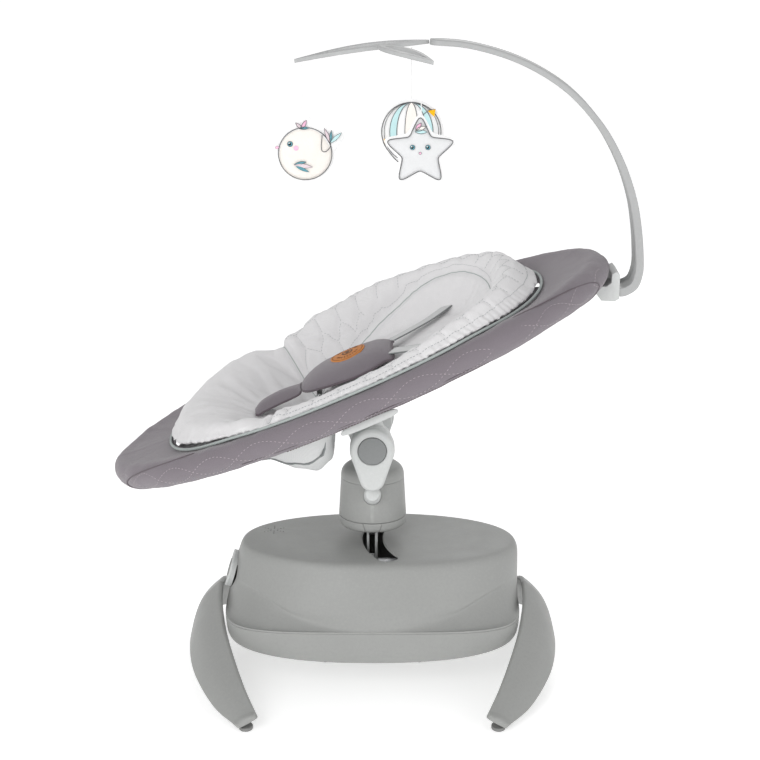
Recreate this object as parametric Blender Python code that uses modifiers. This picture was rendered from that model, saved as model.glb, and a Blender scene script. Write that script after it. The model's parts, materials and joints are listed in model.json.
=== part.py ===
"""Electric baby swing: reclining oval seat on a swivelling drum, carried by an arm that sweeps an
arc slot in a floor base with two arched legs, with a toy arch over the seat.

Metres, +Z up. The origin lies on the floor under the drum. +X points to the head end and -Y to the
near side. Seat pieces are modelled in the seat's own frame, whose origin is the recline axis: u runs
along the seat to the head, v across it, h square to it.
"""
import math

import bmesh
import bpy
from mathutils import Matrix, Vector

GAP = 0.0003

# Floor base
BASE_TOP_Z = 0.197
PART_LINE_Z = 0.102
BASE_BOTTOM_Z = 0.0515
WALL = 0.003
BASE_SIDES = 40

# Swing mechanism: the arm turns about a post at the head end of the base
SWING_X = 0.172
SWING_SWEEP = math.radians(25)
SLOT_HALF_ANGLE = math.radians(29)
SLOT_WIDTH = 0.030
ARM_Z = 0.156
GEAR_MODULE = 0.0025
SECTOR_TEETH = 60
PINION_TEETH = 10
GEAR_Z = 0.142
GEAR_THICKNESS = 0.007

# Drum between base and seat
DRUM_BOTTOM_Z = 0.220
DRUM_LOWER_SEAM_Z = 0.2355
DRUM_UPPER_SEAM_Z = 0.294
DRUM_TOP_Z = 0.318
DRUM_LOWER_R = 0.0497
DRUM_UPPER_R = 0.0465

# Fork and recline pivot
PIVOT_Z = 0.362
SEAT_TILT = math.radians(23.8)
DISC_R = 0.032
ARM_FOOT_R = 0.018
ARM_FOOT_Z = 0.3185
ARM_INNER_Y = 0.0717
ARM_OUTER_Y = 0.0960
BUTTON_R = 0.0203
LOCK_GEAR_R = 0.0128
HUB_R = 0.029

# Seat ring, measured from the recline axis in the seat's frame
RING_U = 0.021
RING_H = 0.097
RING_HALF_LENGTH = 0.369
RING_HALF_WIDTH = 0.206
TUBE_R = 0.010
COVER_R = 0.019
PAD_HALF_LENGTH = 0.291
PAD_HALF_WIDTH = 0.208

# Toy arch
ARCH_Z = 0.577
TONGUE_START_X = 0.333
SOCKET_FACE_X = 0.3505
STRING_R = 0.0007

PALETTE = {
    "base_plastic": ((0.34, 0.34, 0.335), 0.50, 0.0),
    "hub_plastic": ((0.58, 0.59, 0.585), 0.42, 0.0),
    "button_plastic": ((0.26, 0.265, 0.265), 0.48, 0.0),
    "dark_plastic": ((0.05, 0.05, 0.052), 0.50, 0.0),
    "rubber": ((0.16, 0.16, 0.16), 0.85, 0.0),
    "steel": ((0.55, 0.56, 0.57), 0.32, 1.0),
    "brass": ((0.62, 0.50, 0.25), 0.35, 1.0),
    "gear_plastic": ((0.75, 0.73, 0.66), 0.45, 0.0),
    "board": ((0.05, 0.19, 0.10), 0.50, 0.0),
    "mauve_fabric": ((0.27, 0.23, 0.25), 0.90, 0.0),
    "pad_fabric": ((0.75, 0.76, 0.76), 0.90, 0.0),
    "tan_leather": ((0.52, 0.24, 0.08), 0.60, 0.0),
    "toy_fabric": ((0.85, 0.83, 0.79), 0.90, 0.0),
    "star_fabric": ((0.62, 0.62, 0.64), 0.90, 0.0),
    "string": ((0.80, 0.80, 0.80), 0.80, 0.0),
}


# ---------------------------------------------------------------- scene helpers
def clear_scene():
    for item in list(bpy.data.objects):
        bpy.data.objects.remove(item, do_unlink=True)


def new_collection(name):
    group = bpy.data.collections.new(name)
    bpy.context.scene.collection.children.link(group)
    return group


def new_material(name, colour, roughness, metallic):
    material = bpy.data.materials.new(name)
    material.use_nodes = True
    shader = material.node_tree.nodes["Principled BSDF"]
    shader.inputs["Base Color"].default_value = (*colour, 1.0)
    shader.inputs["Roughness"].default_value = roughness
    shader.inputs["Metallic"].default_value = metallic
    material.diffuse_color = (*colour, 1.0)
    return material


clear_scene()
PARTS = new_collection("baby_swing")
CUTTERS = new_collection("cutters")
MATERIALS = {name: new_material(name, *look) for name, look in PALETTE.items()}


def axis_empty(name, location, rotation=(0, 0, 0)):
    empty = bpy.data.objects.new(name, None)
    empty.location = location
    empty.rotation_euler = rotation
    empty.empty_display_size = 0.03
    PARTS.objects.link(empty)
    return empty


BASE_FRAME = axis_empty("base_frame", (0, 0, 0))
SWING_AXIS = axis_empty("swing_axis", (SWING_X, 0, 0))
SWIVEL_AXIS = axis_empty("swivel_axis", (0, 0, 0))
RECLINE_AXIS = axis_empty("recline_axis", (0, 0, PIVOT_Z), (0, -SEAT_TILT, 0))
SEAT_MATRIX = Matrix.Translation((0, 0, PIVOT_Z)) @ Matrix.Rotation(-SEAT_TILT, 4, "Y")


def finish_object(name, mesh, material, parent, in_seat=False):
    """Link a mesh as a part, or as a cutter if it has no material. Its mesh is in world
    coordinates, or in the seat's frame where in_seat is set."""
    part = bpy.data.objects.new(name, mesh)
    if material:
        mesh.materials.append(MATERIALS[material])
        PARTS.objects.link(part)
    else:
        CUTTERS.objects.link(part)
        part.hide_render = True
        part.display_type = "WIRE"
    if parent:
        part.parent = parent
        if not in_seat:
            part.location = Vector(parent.location) * -1
    mesh.shade_smooth()
    mesh.set_sharp_from_angle(angle=math.radians(35))
    return part


def from_bmesh(name, shape, material, parent=None, in_seat=False):
    bmesh.ops.recalc_face_normals(shape, faces=shape.faces[:])
    mesh = bpy.data.meshes.new(name)
    shape.to_mesh(mesh)
    shape.free()
    return finish_object(name, mesh, material, parent, in_seat)


def add_bevel(part, width, segments=2, angle=40):
    bevel = part.modifiers.new("edge_round", "BEVEL")
    bevel.width = width
    bevel.segments = segments
    bevel.limit_method = "ANGLE"
    bevel.angle_limit = math.radians(angle)
    return part


def boolean(part, tool, operation):
    modifier = part.modifiers.new(operation.lower(), "BOOLEAN")
    modifier.operation = operation
    modifier.object = tool
    modifier.solver = "EXACT"
    return part


def cut(part, *tools):
    for tool in tools:
        boolean(part, tool, "DIFFERENCE")
    return part


def join(part, *tools):
    for tool in tools:
        boolean(part, tool, "UNION")
    return part


# ---------------------------------------------------------------- shape helpers
def aim(direction):
    """Rotation that turns +Z to a direction."""
    return Vector((0, 0, 1)).rotation_difference(Vector(direction)).to_matrix().to_4x4()


def cylinder(name, radius, start, end, material, parent=None, in_seat=False, sides=24, top=None):
    """A cylinder, or a cone where top is another radius, between two points."""
    start, end = Vector(start), Vector(end)
    shape = bmesh.new()
    length = (end - start).length
    place = Matrix.Translation((start + end) / 2) @ aim(end - start)
    second = radius if top is None else top
    bmesh.ops.create_cone(shape, cap_ends=True, segments=sides, radius1=radius, radius2=second,
                          depth=length, matrix=place)
    return from_bmesh(name, shape, material, parent, in_seat)


def block(name, low, high, material, parent=None, in_seat=False, turn=None):
    low, high = Vector(low), Vector(high)
    shape = bmesh.new()
    size = Matrix.Diagonal((*(high - low), 1))
    place = Matrix.Translation((low + high) / 2)
    if turn:
        place = place @ turn
    bmesh.ops.create_cube(shape, size=1, matrix=place @ size)
    return from_bmesh(name, shape, material, parent, in_seat)


def prism(name, outline, low, high, plane, material, parent=None, in_seat=False, place=None):
    """A flat outline pushed from low to high. plane names the outline's axes: XY or XZ."""
    shape = bmesh.new()

    def at(point, level):
        a, b = point
        return (a, b, level) if plane == "XY" else (a, level, b)

    bottom = [shape.verts.new(at(p, low)) for p in outline]
    top = [shape.verts.new(at(p, high)) for p in outline]
    shape.faces.new(bottom)
    shape.faces.new(top)
    count = len(outline)
    for i in range(count):
        j = (i + 1) % count
        shape.faces.new((bottom[i], bottom[j], top[j], top[i]))
    if place:
        bmesh.ops.transform(shape, matrix=place, verts=shape.verts[:])
    return from_bmesh(name, shape, material, parent, in_seat)


def turned(name, profile, steps, material, parent=None, closed=False, centre=(0, 0)):
    """A profile of (radius, height) turned about a vertical axis, outer side from top to bottom."""
    mesh = bpy.data.meshes.new(name)
    count = len(profile)
    edges = [(i, i + 1) for i in range(count - 1)]
    if closed:
        edges.append((count - 1, 0))
    mesh.from_pydata([(r, 0, z) for r, z in profile], edges, [])
    part = finish_object(name, mesh, material, parent)
    part.location = Vector(part.location) + Vector((*centre, 0))
    screw = part.modifiers.new("turn", "SCREW")
    screw.steps = steps
    screw.render_steps = steps
    screw.use_merge_vertices = True
    screw.merge_threshold = 0.00005
    screw.use_smooth_shade = True
    return part


def loft(name, sections, material, parent=None, in_seat=False, ring=False, caps=True):
    """Join closed sections of equal count. ring also joins the last section to the first."""
    shape = bmesh.new()
    rows = [[shape.verts.new(p) for p in section] for section in sections]
    count = len(rows[0])
    pairs = list(zip(rows, rows[1:]))
    if ring:
        pairs.append((rows[-1], rows[0]))
    for first, second in pairs:
        for i in range(count):
            j = (i + 1) % count
            shape.faces.new((first[i], first[j], second[j], second[i]))
    if caps and not ring:
        shape.faces.new(rows[0])
        shape.faces.new(rows[-1])
    return from_bmesh(name, shape, material, parent, in_seat)


def spline(points, t):
    """A point at t, 0 to 1, on a smooth curve through a few points."""
    last = len(points) - 1
    place = min(max(t, 0.0), 1.0) * last
    i = min(int(place), last - 1)
    f = place - i
    p0, p1, p2, p3 = (points[min(max(k, 0), last)] for k in (i - 1, i, i + 1, i + 2))
    return tuple(
        0.5 * (2 * b + (c - a) * f + (2 * a - 5 * b + 4 * c - d) * f ** 2
               + (3 * b - a - 3 * c + d) * f ** 3)
        for a, b, c, d in zip(p0, p1, p2, p3))


def level(pairs, x):
    """Smoothly read a height from (position, height) pairs."""
    if x <= pairs[0][0]:
        return pairs[0][1]
    for (x0, y0), (x1, y1) in zip(pairs, pairs[1:]):
        if x <= x1:
            f = (x - x0) / (x1 - x0)
            return y0 + (y1 - y0) * f * f * (3 - 2 * f)
    return pairs[-1][1]


def superellipse(half_x, half_y, power, sides, centre_x=0.0):
    points = []
    for i in range(sides):
        angle = 2 * math.pi * i / sides
        c, s = math.cos(angle), math.sin(angle)
        x = math.copysign(abs(c) ** (2 / power), c) * half_x
        y = math.copysign(abs(s) ** (2 / power), s) * half_y
        points.append((centre_x + x, y))
    return points


def circle(radius, sides, centre=(0, 0)):
    return [(centre[0] + radius * math.cos(2 * math.pi * i / sides),
             centre[1] + radius * math.sin(2 * math.pi * i / sides)) for i in range(sides)]


# ---------------------------------------------------------------- floor base
DOME = [
    # height, centre x, half length, half depth
    (0.1000, 0.0000, 0.2160, 0.1415),
    (0.1300, 0.0018, 0.2142, 0.1360),
    (0.1550, 0.0052, 0.2108, 0.1275),
    (0.1800, 0.0085, 0.2070, 0.1180),
    (0.1905, 0.0088, 0.2035, 0.1130),
    (0.1953, 0.0075, 0.1985, 0.1075),
    (BASE_TOP_Z, 0.0045, 0.1895, 0.0990),
]
DOME_POWER = 2.12
SKIRT = (0.0, 0.2170, 0.1420)
SKIRT_POWER = 4.6
SKIRT_LIP_Z = 0.1050
SHELF_LIFT = 0.006
SHELF_RISE = 0.030
LOWER = [
    # height, half length, half depth, squareness
    (PART_LINE_Z, 0.2170, 0.1420, 4.6),
    (0.0760, 0.2160, 0.1415, 4.5),
    (0.0600, 0.2140, 0.1390, 4.2),
    (0.0540, 0.2100, 0.1350, 4.0),
    (BASE_BOTTOM_Z, 0.2000, 0.1250, 3.8),
]
BOTTOM_RISE = 0.018


def dome_at(height):
    """Centre x, half length and half depth of the dome at a height."""
    last = DOME[-1]
    if height >= last[0]:
        return last[1:]
    for low, high in zip(DOME, DOME[1:]):
        if height <= high[0]:
            f = (height - low[0]) / (high[0] - low[0])
            return tuple(a + (b - a) * f for a, b in zip(low[1:], high[1:]))


def oval_point(t, centre_x, half_x, half_y, power):
    """A point of a squared oval, in the direction that t has on the skirt's ellipse."""
    x, y = SKIRT[1] * math.cos(t), SKIRT[2] * math.sin(t)
    size = (abs(x / half_x) ** power + abs(y / half_y) ** power) ** (1 / power)
    return centre_x + x / size, y / size


def upper_rows(sides):
    """Skirt lip, corner shelf, then the dome, as rows of points from the parting line up."""
    heights = [h for h, *_ in DOME[1:]]
    rows = [[] for _ in range(4 + len(heights))]
    for i in range(sides):
        t = 2 * math.pi * i / sides
        skirt = oval_point(t, *SKIRT, SKIRT_POWER)
        foot = oval_point(t, *dome_at(0.112), DOME_POWER)
        crease = SKIRT_LIP_Z + SHELF_LIFT + SHELF_RISE * abs(skirt[0] / SKIRT[1]) ** 2.5
        rows[0].append((*skirt, PART_LINE_Z + GAP))
        rows[1].append((*skirt, SKIRT_LIP_Z))
        middle = [0.62 * a + 0.38 * b for a, b in zip(skirt, foot)]
        rows[2].append((*middle, SKIRT_LIP_Z + 0.12 * (crease - SKIRT_LIP_Z)))
        rows[3].append((*oval_point(t, *dome_at(crease), DOME_POWER), crease))
        for k, h in enumerate(heights):
            height = max(h, crease + 0.008 * (k + 1)) if k < 2 else h
            rows[4 + k].append((*oval_point(t, *dome_at(height), DOME_POWER), height))
    return rows


def lower_rows(sides):
    """From the parting line down. The underside rises a little towards both ends."""
    rows = []
    for height, half_x, half_y, power in LOWER:
        share = (PART_LINE_Z - height) / (PART_LINE_Z - BASE_BOTTOM_Z)
        row = []
        for i in range(sides):
            x, y = oval_point(2 * math.pi * i / sides, 0, half_x, half_y, power)
            row.append((x, y, height + share * BOTTOM_RISE * (x / SKIRT[1]) ** 2))
        rows.append(row)
    return rows


def base_shell(name, outer, closing):
    """A shell from rows of points, open at the first row and closed at the last. closing is +1
    where the closed end is the top."""
    shape = bmesh.new()
    last = len(outer) - 1
    layers = []
    for inset in (0, 1):
        rows = []
        for i, row in enumerate(outer):
            drop = inset * closing * WALL * (i / last) ** 2
            shrink = 1 - inset * WALL * (1.25 if 0 < i < last else 1.0) / 0.142
            lengthwise = 1 - inset * WALL * 1.2 / 0.215
            rows.append([shape.verts.new((x * lengthwise, y * shrink, z - drop))
                         for x, y, z in row])
        layers.append(rows)
        for first, second in zip(rows, rows[1:]):
            for i in range(BASE_SIDES):
                j = (i + 1) % BASE_SIDES
                shape.faces.new((first[i], first[j], second[j], second[i]))
        centre = sum((v.co for v in rows[-1]), Vector()) / BASE_SIDES
        if closing < 0:
            centre.z = BASE_BOTTOM_Z - inset * closing * WALL
        middle = shape.verts.new(centre)
        for i in range(BASE_SIDES):
            shape.faces.new((rows[-1][i], rows[-1][(i + 1) % BASE_SIDES], middle))
    for i in range(BASE_SIDES):
        j = (i + 1) % BASE_SIDES
        shape.faces.new((layers[0][0][i], layers[0][0][j], layers[1][0][j], layers[1][0][i]))
    return from_bmesh(name, shape, "base_plastic", BASE_FRAME)


def arc_slot(name, low, high):
    """The slot that the swing's stem sweeps, as a cutter."""
    outer, inner = SWING_X + SLOT_WIDTH / 2, SWING_X - SLOT_WIDTH / 2
    steps, end_steps = 14, 5
    outline = []
    for i in range(steps + 1):
        angle = math.pi - SLOT_HALF_ANGLE + 2 * SLOT_HALF_ANGLE * i / steps
        outline.append((SWING_X + outer * math.cos(angle), outer * math.sin(angle)))
    for side, start in ((1, steps), (-1, 0)):
        angle = math.pi + side * SLOT_HALF_ANGLE
        cx, cy = SWING_X + SWING_X * math.cos(angle), SWING_X * math.sin(angle)
        half = SLOT_WIDTH / 2
        arc = []
        for k in range(1, end_steps):
            turn = angle + side * math.pi * k / end_steps
            arc.append((cx + half * math.cos(turn), cy + half * math.sin(turn)))
        if side == 1:
            outline += arc
            for i in range(steps, -1, -1):
                back = math.pi - SLOT_HALF_ANGLE + 2 * SLOT_HALF_ANGLE * i / steps
                outline.append((SWING_X + inner * math.cos(back), inner * math.sin(back)))
        else:
            outline += arc[::-1]
    return prism(name, outline, low, high, "XY", None)


PANEL_TILT = math.radians(16)
PANEL_CENTRE = Vector((-0.2088, 0, 0.1480))
PANEL_NORMAL = Vector((-math.cos(PANEL_TILT), 0, math.sin(PANEL_TILT)))
PANEL_PLACE = Matrix.Translation(PANEL_CENTRE) @ Matrix.Rotation(
    math.pi, 4, "Z") @ Matrix.Rotation(math.radians(90) - PANEL_TILT, 4, "Y")
PANEL_HALF_HEIGHT = 0.0265
PANEL_HALF_WIDTH = 0.034
DIAL_R = 0.0135
POWER_BUTTON_Y = 0.0240
POWER_BUTTON_R = 0.0045


def panel_piece(name, outline, low, high, material):
    """A prism square to the sloping control panel."""
    return prism(name, outline, low, high, "XY", material, BASE_FRAME, place=PANEL_PLACE)


def make_base():
    upper = base_shell("base_upper_shell", upper_rows(BASE_SIDES), 1)
    lower = base_shell("base_lower_shell", lower_rows(BASE_SIDES), -1)
    cut(upper, arc_slot("arc_slot_cut", 0.180, 0.205))
    hole = superellipse(PANEL_HALF_HEIGHT + GAP, PANEL_HALF_WIDTH + GAP, 2, 32)
    cut(upper, prism("panel_cut", hole, -0.014, 0.014, "XY", None, place=PANEL_PLACE))
    inlet_low, inlet_high = (0.0555, 0.1250, 0.0705), (0.0745, 0.1500, 0.0835)
    cut(lower, block("inlet_cut", inlet_low, inlet_high, None))
    inlet = block("dc_inlet", (0.0558, 0.1270, 0.0708), (0.0742, 0.1435, 0.0832),
                  "dark_plastic", BASE_FRAME)
    jack = cylinder("jack_cut", 0.0033, (0.065, 0.1300, 0.077), (0.065, 0.1450, 0.077), None)
    cut(inlet, jack)

    face = superellipse(PANEL_HALF_HEIGHT, PANEL_HALF_WIDTH, 2, 32)
    panel = panel_piece("control_panel", face, -0.0045, 0.0035, "button_plastic")
    dial_hole = prism("dial_cut", circle(DIAL_R + 0.0004, 24), -0.006, 0.006, "XY", None,
                      place=PANEL_PLACE)
    power_at = (0, POWER_BUTTON_Y)
    power_hole = prism("power_cut", circle(POWER_BUTTON_R + 0.0004, 16, power_at), -0.006, 0.006,
                       "XY", None, place=PANEL_PLACE)
    cut(panel, dial_hole, power_hole)
    panel_piece("control_dial", circle(DIAL_R, 24), -0.0040, 0.0060, "base_plastic")
    panel_piece("power_button", circle(POWER_BUTTON_R, 16, power_at), -0.0035, 0.0048,
                "dark_plastic")

    block("circuit_board", (-0.150, -0.045, 0.0700), (-0.070, 0.045, 0.0716), "board", BASE_FRAME)
    speaker = [(0, 0.1900), (0.021, 0.1900), (0.021, 0.1860), (0.012, 0.1760), (0.012, 0.1690),
               (0, 0.1690)]
    turned("speaker", speaker, 20, "dark_plastic", BASE_FRAME, centre=(-0.118, 0))


LEG_UPPER = [(0.222, 0.000, 0.124), (0.220, 0.050, 0.112), (0.211, 0.100, 0.089),
             (0.196, 0.150, 0.066), (0.178, 0.200, 0.043), (0.159, 0.240, 0.021)]
LEG_LOWER = [(0.266, 0.000, 0.050), (0.266, 0.050, 0.042), (0.259, 0.100, 0.030),
             (0.243, 0.150, 0.020), (0.218, 0.200, 0.0085), (0.190, 0.240, 0.0030)]
LEG_STATIONS = 10
LEG_THICKNESS = 0.0125
TOE_TAPER = 0.62
TOE_NOSE = Vector((-0.002, 0.006, 0.001))
FOOT_PAD_TOP = 0.0050
FOOT_X, FOOT_Y = 0.1765, 0.2330
FOOT_HALF_X, FOOT_HALF_Y = 0.0105, 0.0130


def leg_section(t):
    """The blade's section at t, 0 mid leg to 1 at the toe, as a bowed lens."""
    upper, lower = Vector(spline(LEG_UPPER, t)), Vector(spline(LEG_LOWER, t))
    chord = (lower - upper)
    out = Vector((-chord.z, 0, chord.x)).normalized()
    if out.x < 0:
        out = -out
    thick = LEG_THICKNESS * (1 + 0.25 * t)
    bow = 0.10 * chord.length
    outer = []
    inner = []
    steps = 5
    for k in range(steps + 1):
        f = k / steps
        swell = math.sin(math.pi * f)
        base = upper.lerp(lower, f)
        outer.append(base + out * (thick * 0.55 + bow * swell))
        inner.append(base + out * (bow * 0.8 * swell - thick * 0.25 * swell))
    return outer + inner[::-1][1:-1] + [upper]


def make_leg(name, side):
    """side is +1 for the head end. The leg is an arch from near foot to far foot."""
    sections = []
    for i in range(-LEG_STATIONS, LEG_STATIONS + 1):
        t = abs(i) / LEG_STATIONS
        section = leg_section(t)
        if abs(i) == LEG_STATIONS:
            middle = sum(section, Vector()) / len(section)
            section = [middle + (p - middle) * TOE_TAPER + TOE_NOSE for p in section]
        flip = math.copysign(1, i) if i else 1
        sections.append([(side * p.x, flip * p.y, p.z) for p in section])
    leg = loft(name, sections, "base_plastic", BASE_FRAME)
    reach = sorted((side * 0.2176, side * 0.2380))
    boss = block(name + "_boss", (reach[0], -0.045, 0.074), (reach[1], 0.045, 0.099), None)
    join(leg, boss)
    for sign in (-1, 1):
        outline = [(x + side * FOOT_X, y + sign * FOOT_Y)
                   for x, y in superellipse(FOOT_HALF_X, FOOT_HALF_Y, 2, 16)]
        sole = prism(f"{name}_sole_{sign}", outline, 0.0020, 0.0125, "XY", None)
        join(leg, sole)
    floor = block(name + "_sole_cut", (-0.3, -0.3, -0.02), (0.3, 0.3, FOOT_PAD_TOP + GAP), None)
    return cut(leg, floor)


def make_foot_pads():
    for number, (sx, sy) in enumerate(((-1, -1), (-1, 1), (1, -1), (1, 1)), start=1):
        outline = [(x + sx * FOOT_X, y + sy * FOOT_Y)
                   for x, y in superellipse(FOOT_HALF_X - 0.0006, FOOT_HALF_Y - 0.0006, 2, 16)]
        prism(f"foot_pad_{number}", outline, 0, FOOT_PAD_TOP, "XY", "rubber", BASE_FRAME)


# ---------------------------------------------------------------- drive
def gear_outline(teeth, first, count, centre, phase, root_half, tip_half, bore_side=None):
    """Trapezium teeth on a pitch circle, their half widths in parts of the pitch. bore_side closes
    a part gear round its hub."""
    pitch_r = GEAR_MODULE * teeth / 2
    tip, root = pitch_r + 0.75 * GEAR_MODULE, pitch_r - 0.95 * GEAR_MODULE
    pitch = 2 * math.pi / teeth
    points = []
    for k in range(first, first + count):
        middle = phase + k * pitch
        for radius, offset in ((root, -root_half), (tip, -tip_half), (tip, tip_half),
                               (root, root_half)):
            angle = middle + offset * pitch
            points.append((centre[0] + radius * math.cos(angle),
                           centre[1] + radius * math.sin(angle)))
    if bore_side:
        start = phase + (first + count - 0.5) * pitch
        sweep = 2 * math.pi - count * pitch
        for k in range(13):
            angle = start + sweep * k / 12
            points.append((centre[0] + bore_side * math.cos(angle),
                           centre[1] + bore_side * math.sin(angle)))
    return points


SECTOR_R = GEAR_MODULE * SECTOR_TEETH / 2
PINION_R = GEAR_MODULE * PINION_TEETH / 2
PINION_X = SWING_X - SECTOR_R - PINION_R - 0.0003
SHAFT_R = 0.0080
BORE_PLAY = 0.00022


def make_drive():
    post = [(0, 0.1750), (SHAFT_R, 0.1750), (SHAFT_R, GEAR_Z - 0.0006), (0.0130, GEAR_Z - 0.0006),
            (0.0140, 0.0740), (0.020, 0.0722), (0, 0.0722)]
    turned("pivot_post", post, 20, "steel", BASE_FRAME, centre=(SWING_X, 0))

    motor = [(0, 0.1060), (0.0175, 0.1060), (0.0185, 0.1050), (0.0185, 0.0660), (0.0170, 0.0650),
             (0, 0.0650)]
    turned("drive_motor", motor, 20, "steel", BASE_FRAME, centre=(PINION_X, 0))
    box = [(0.0034, 0.1290), (0.024, 0.1290), (0.0255, 0.1275), (0.0255, 0.1063),
           (0.0034, 0.1063)]
    turned("gearbox", box, 20, "dark_plastic", BASE_FRAME, closed=True, centre=(PINION_X, 0))

    gear_top = GEAR_Z + GEAR_THICKNESS
    half_pitch = math.pi / PINION_TEETH
    pinion = prism("motor_pinion",
                   gear_outline(PINION_TEETH, 0, PINION_TEETH, (PINION_X, 0), half_pitch,
                                0.36, 0.09),
                   GEAR_Z - 0.001, gear_top, "XY", "brass", BASE_FRAME)
    shaft = cylinder("pinion_shaft", 0.0030, (PINION_X, 0, 0.1100),
                     (PINION_X, 0, GEAR_Z + 0.003), None, sides=16)
    join(pinion, shaft)

    bore = cylinder("pivot_bore", SHAFT_R + BORE_PLAY, (SWING_X, 0, 0.130), (SWING_X, 0, 0.180),
                    None, sides=20)
    reach = 6
    sector = prism("sector_gear",
                   gear_outline(SECTOR_TEETH, -reach, 2 * reach + 1, (SWING_X, 0), math.pi,
                                0.30, 0.14, bore_side=0.018),
                   GEAR_Z, gear_top, "XY", "gear_plastic", SWING_AXIS)
    cut(sector, bore)

    low = ARM_Z - 0.0065
    arm = block("swing_arm", (-0.014, -0.013, low), (SWING_X, 0.013, ARM_Z + 0.003),
                "steel", SWING_AXIS)
    hub = cylinder("swing_arm_hub", 0.019, (SWING_X, 0, low), (SWING_X, 0, ARM_Z + 0.010), None)
    arm_bore = cylinder("arm_bore", SHAFT_R + BORE_PLAY, (SWING_X, 0, 0.130), (SWING_X, 0, 0.190),
                        None, sides=20)
    join(arm, hub)
    cut(arm, arm_bore)

    foot = ARM_Z + 0.0033
    stem = block("swing_stem", (-0.0085, -0.0095, foot), (0.0075, 0.0095, 0.2197), "steel",
                 SWING_AXIS)
    channel = block("stem_channel", (-0.0050, -0.020, 0.1680), (0.0035, 0.020, 0.2160), None)
    cut(stem, channel)
    block("stem_crossbar", (-0.0047, -0.0130, 0.2060), (0.0032, 0.0130, 0.2100), "dark_plastic",
          SWING_AXIS)


# ---------------------------------------------------------------- drum and fork
TAB_TOP_HALF = 0.0140
TAB_FOOT_HALF = 0.0093
TAB_TRAVEL = 0.003


def tab_outline(grow, reach=0.0):
    """The lock tab's trapezium, grown all round and lengthened up and down."""
    low, high = DRUM_BOTTOM_Z + 0.0003, DRUM_LOWER_SEAM_Z - 0.0006
    slope = (TAB_TOP_HALF - TAB_FOOT_HALF) / (high - low)
    foot, top = TAB_FOOT_HALF + grow - slope * reach, TAB_TOP_HALF + grow + slope * reach
    return [(-foot, low - reach), (foot, low - reach), (top, high + reach), (-top, high + reach)]


def make_drum():
    ring = [(0.0105, DRUM_LOWER_SEAM_Z - GAP), (DRUM_LOWER_R, DRUM_LOWER_SEAM_Z - GAP),
            (DRUM_LOWER_R, 0.2260), (0.0480, 0.2220), (0.0440, DRUM_BOTTOM_Z),
            (0.0105, DRUM_BOTTOM_Z)]
    turntable = turned("turntable_ring", ring, 28, "base_plastic", SWING_AXIS, closed=True)
    turntable.location.x = -SWING_X
    notch = tab_outline(0.0004, 0.003)
    cut(turntable, prism("tab_notch", notch, -0.060, -0.0385, "XZ", None))
    tab = prism("swivel_lock_tab", tab_outline(0), -0.0500, -0.0420, "XZ", "base_plastic",
                SWING_AXIS)
    trim = [(DRUM_LOWER_R - 0.0002, 0.25), (0.08, 0.25), (0.08, 0.21), (0.0438, 0.21),
            (0.0441, DRUM_BOTTOM_Z), (0.0479, 0.2222), (DRUM_LOWER_R - 0.0002, 0.2262)]
    trim_tool = turned("tab_trim", trim, 28, None, closed=True)
    cut(tab, trim_tool)
    turned("swivel_spindle",
           [(0.0060, 0.2860), (0.0100, 0.2860), (0.0100, 0.2198 + 0.0005), (0.0060, 0.2198 + 0.0005)],
           24, "steel", SWING_AXIS, closed=True).location.x = -SWING_X

    wall_top, wall_low = DRUM_UPPER_SEAM_Z - GAP, DRUM_LOWER_SEAM_Z + GAP
    shell = [(DRUM_UPPER_R - WALL, wall_top), (DRUM_UPPER_R, wall_top), (DRUM_LOWER_R, wall_low),
             (DRUM_LOWER_R - WALL, wall_low)]
    housing = turned("drum_housing", shell, 28, "base_plastic", SWIVEL_AXIS, closed=True)
    rise = DRUM_TOP_Z - DRUM_UPPER_SEAM_Z
    outer = []
    inner = []
    steps = 5
    for k in range(steps + 1):
        angle = math.pi / 2 * k / steps
        r, z = math.sin(angle) ** 0.72, math.cos(angle) ** 0.72
        outer.append((DRUM_UPPER_R * r, DRUM_UPPER_SEAM_Z + rise * z))
        inner.append(((DRUM_UPPER_R - WALL) * r, DRUM_UPPER_SEAM_Z + (rise - WALL) * z))
    turned("drum_cap", outer + inner[::-1], 28, "base_plastic", SWIVEL_AXIS)

    core = turned("seat_fork", [(0.0101, 0.2830), (0.0200, 0.2830), (0.0200, 0.2395),
                                (0.0101, 0.2395)], 24, "hub_plastic", SWIVEL_AXIS, closed=True)
    for word, side in (("near", -1), ("far", 1)):
        start, end = Vector((0, side * 0.0195, 0.2655)), Vector((0, side * 0.0840, 0.2950))
        neck = cylinder(f"neck_{word}", 0.0125, start, end, None)
        flat = block(f"neck_flat_{word}", (-0.02, min(side * 0.0714, side * 0.1), 0.2995),
                     (0.02, max(side * 0.0714, side * 0.1), 0.36), None)
        cut(neck, flat)
        join(core, neck)
        away = cylinder(f"neck_hole_{word}", 0.0129, start, end + (end - start) * 0.2, None)
        cut(housing, away)
        rim = cylinder(f"neck_rim_{word}", 0.0130, start, end + (end - start) * 0.2, None)
        cut(bpy.data.objects["drum_cap"], rim)


def teardrop(disc_r, foot_r, foot_drop, sides=20):
    """A big circle and a small one below it, wrapped by their outer tangents."""
    lean = math.asin((disc_r - foot_r) / foot_drop)
    points = []
    for i in range(sides + 1):
        angle = -lean + (math.pi + 2 * lean) * i / sides
        points.append((disc_r * math.cos(angle), disc_r * math.sin(angle)))
    for i in range(sides // 2 + 1):
        angle = math.pi + lean + (math.pi - 2 * lean) * i / (sides // 2)
        points.append((foot_r * math.cos(angle), foot_r * math.sin(angle) - foot_drop))
    return points


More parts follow.
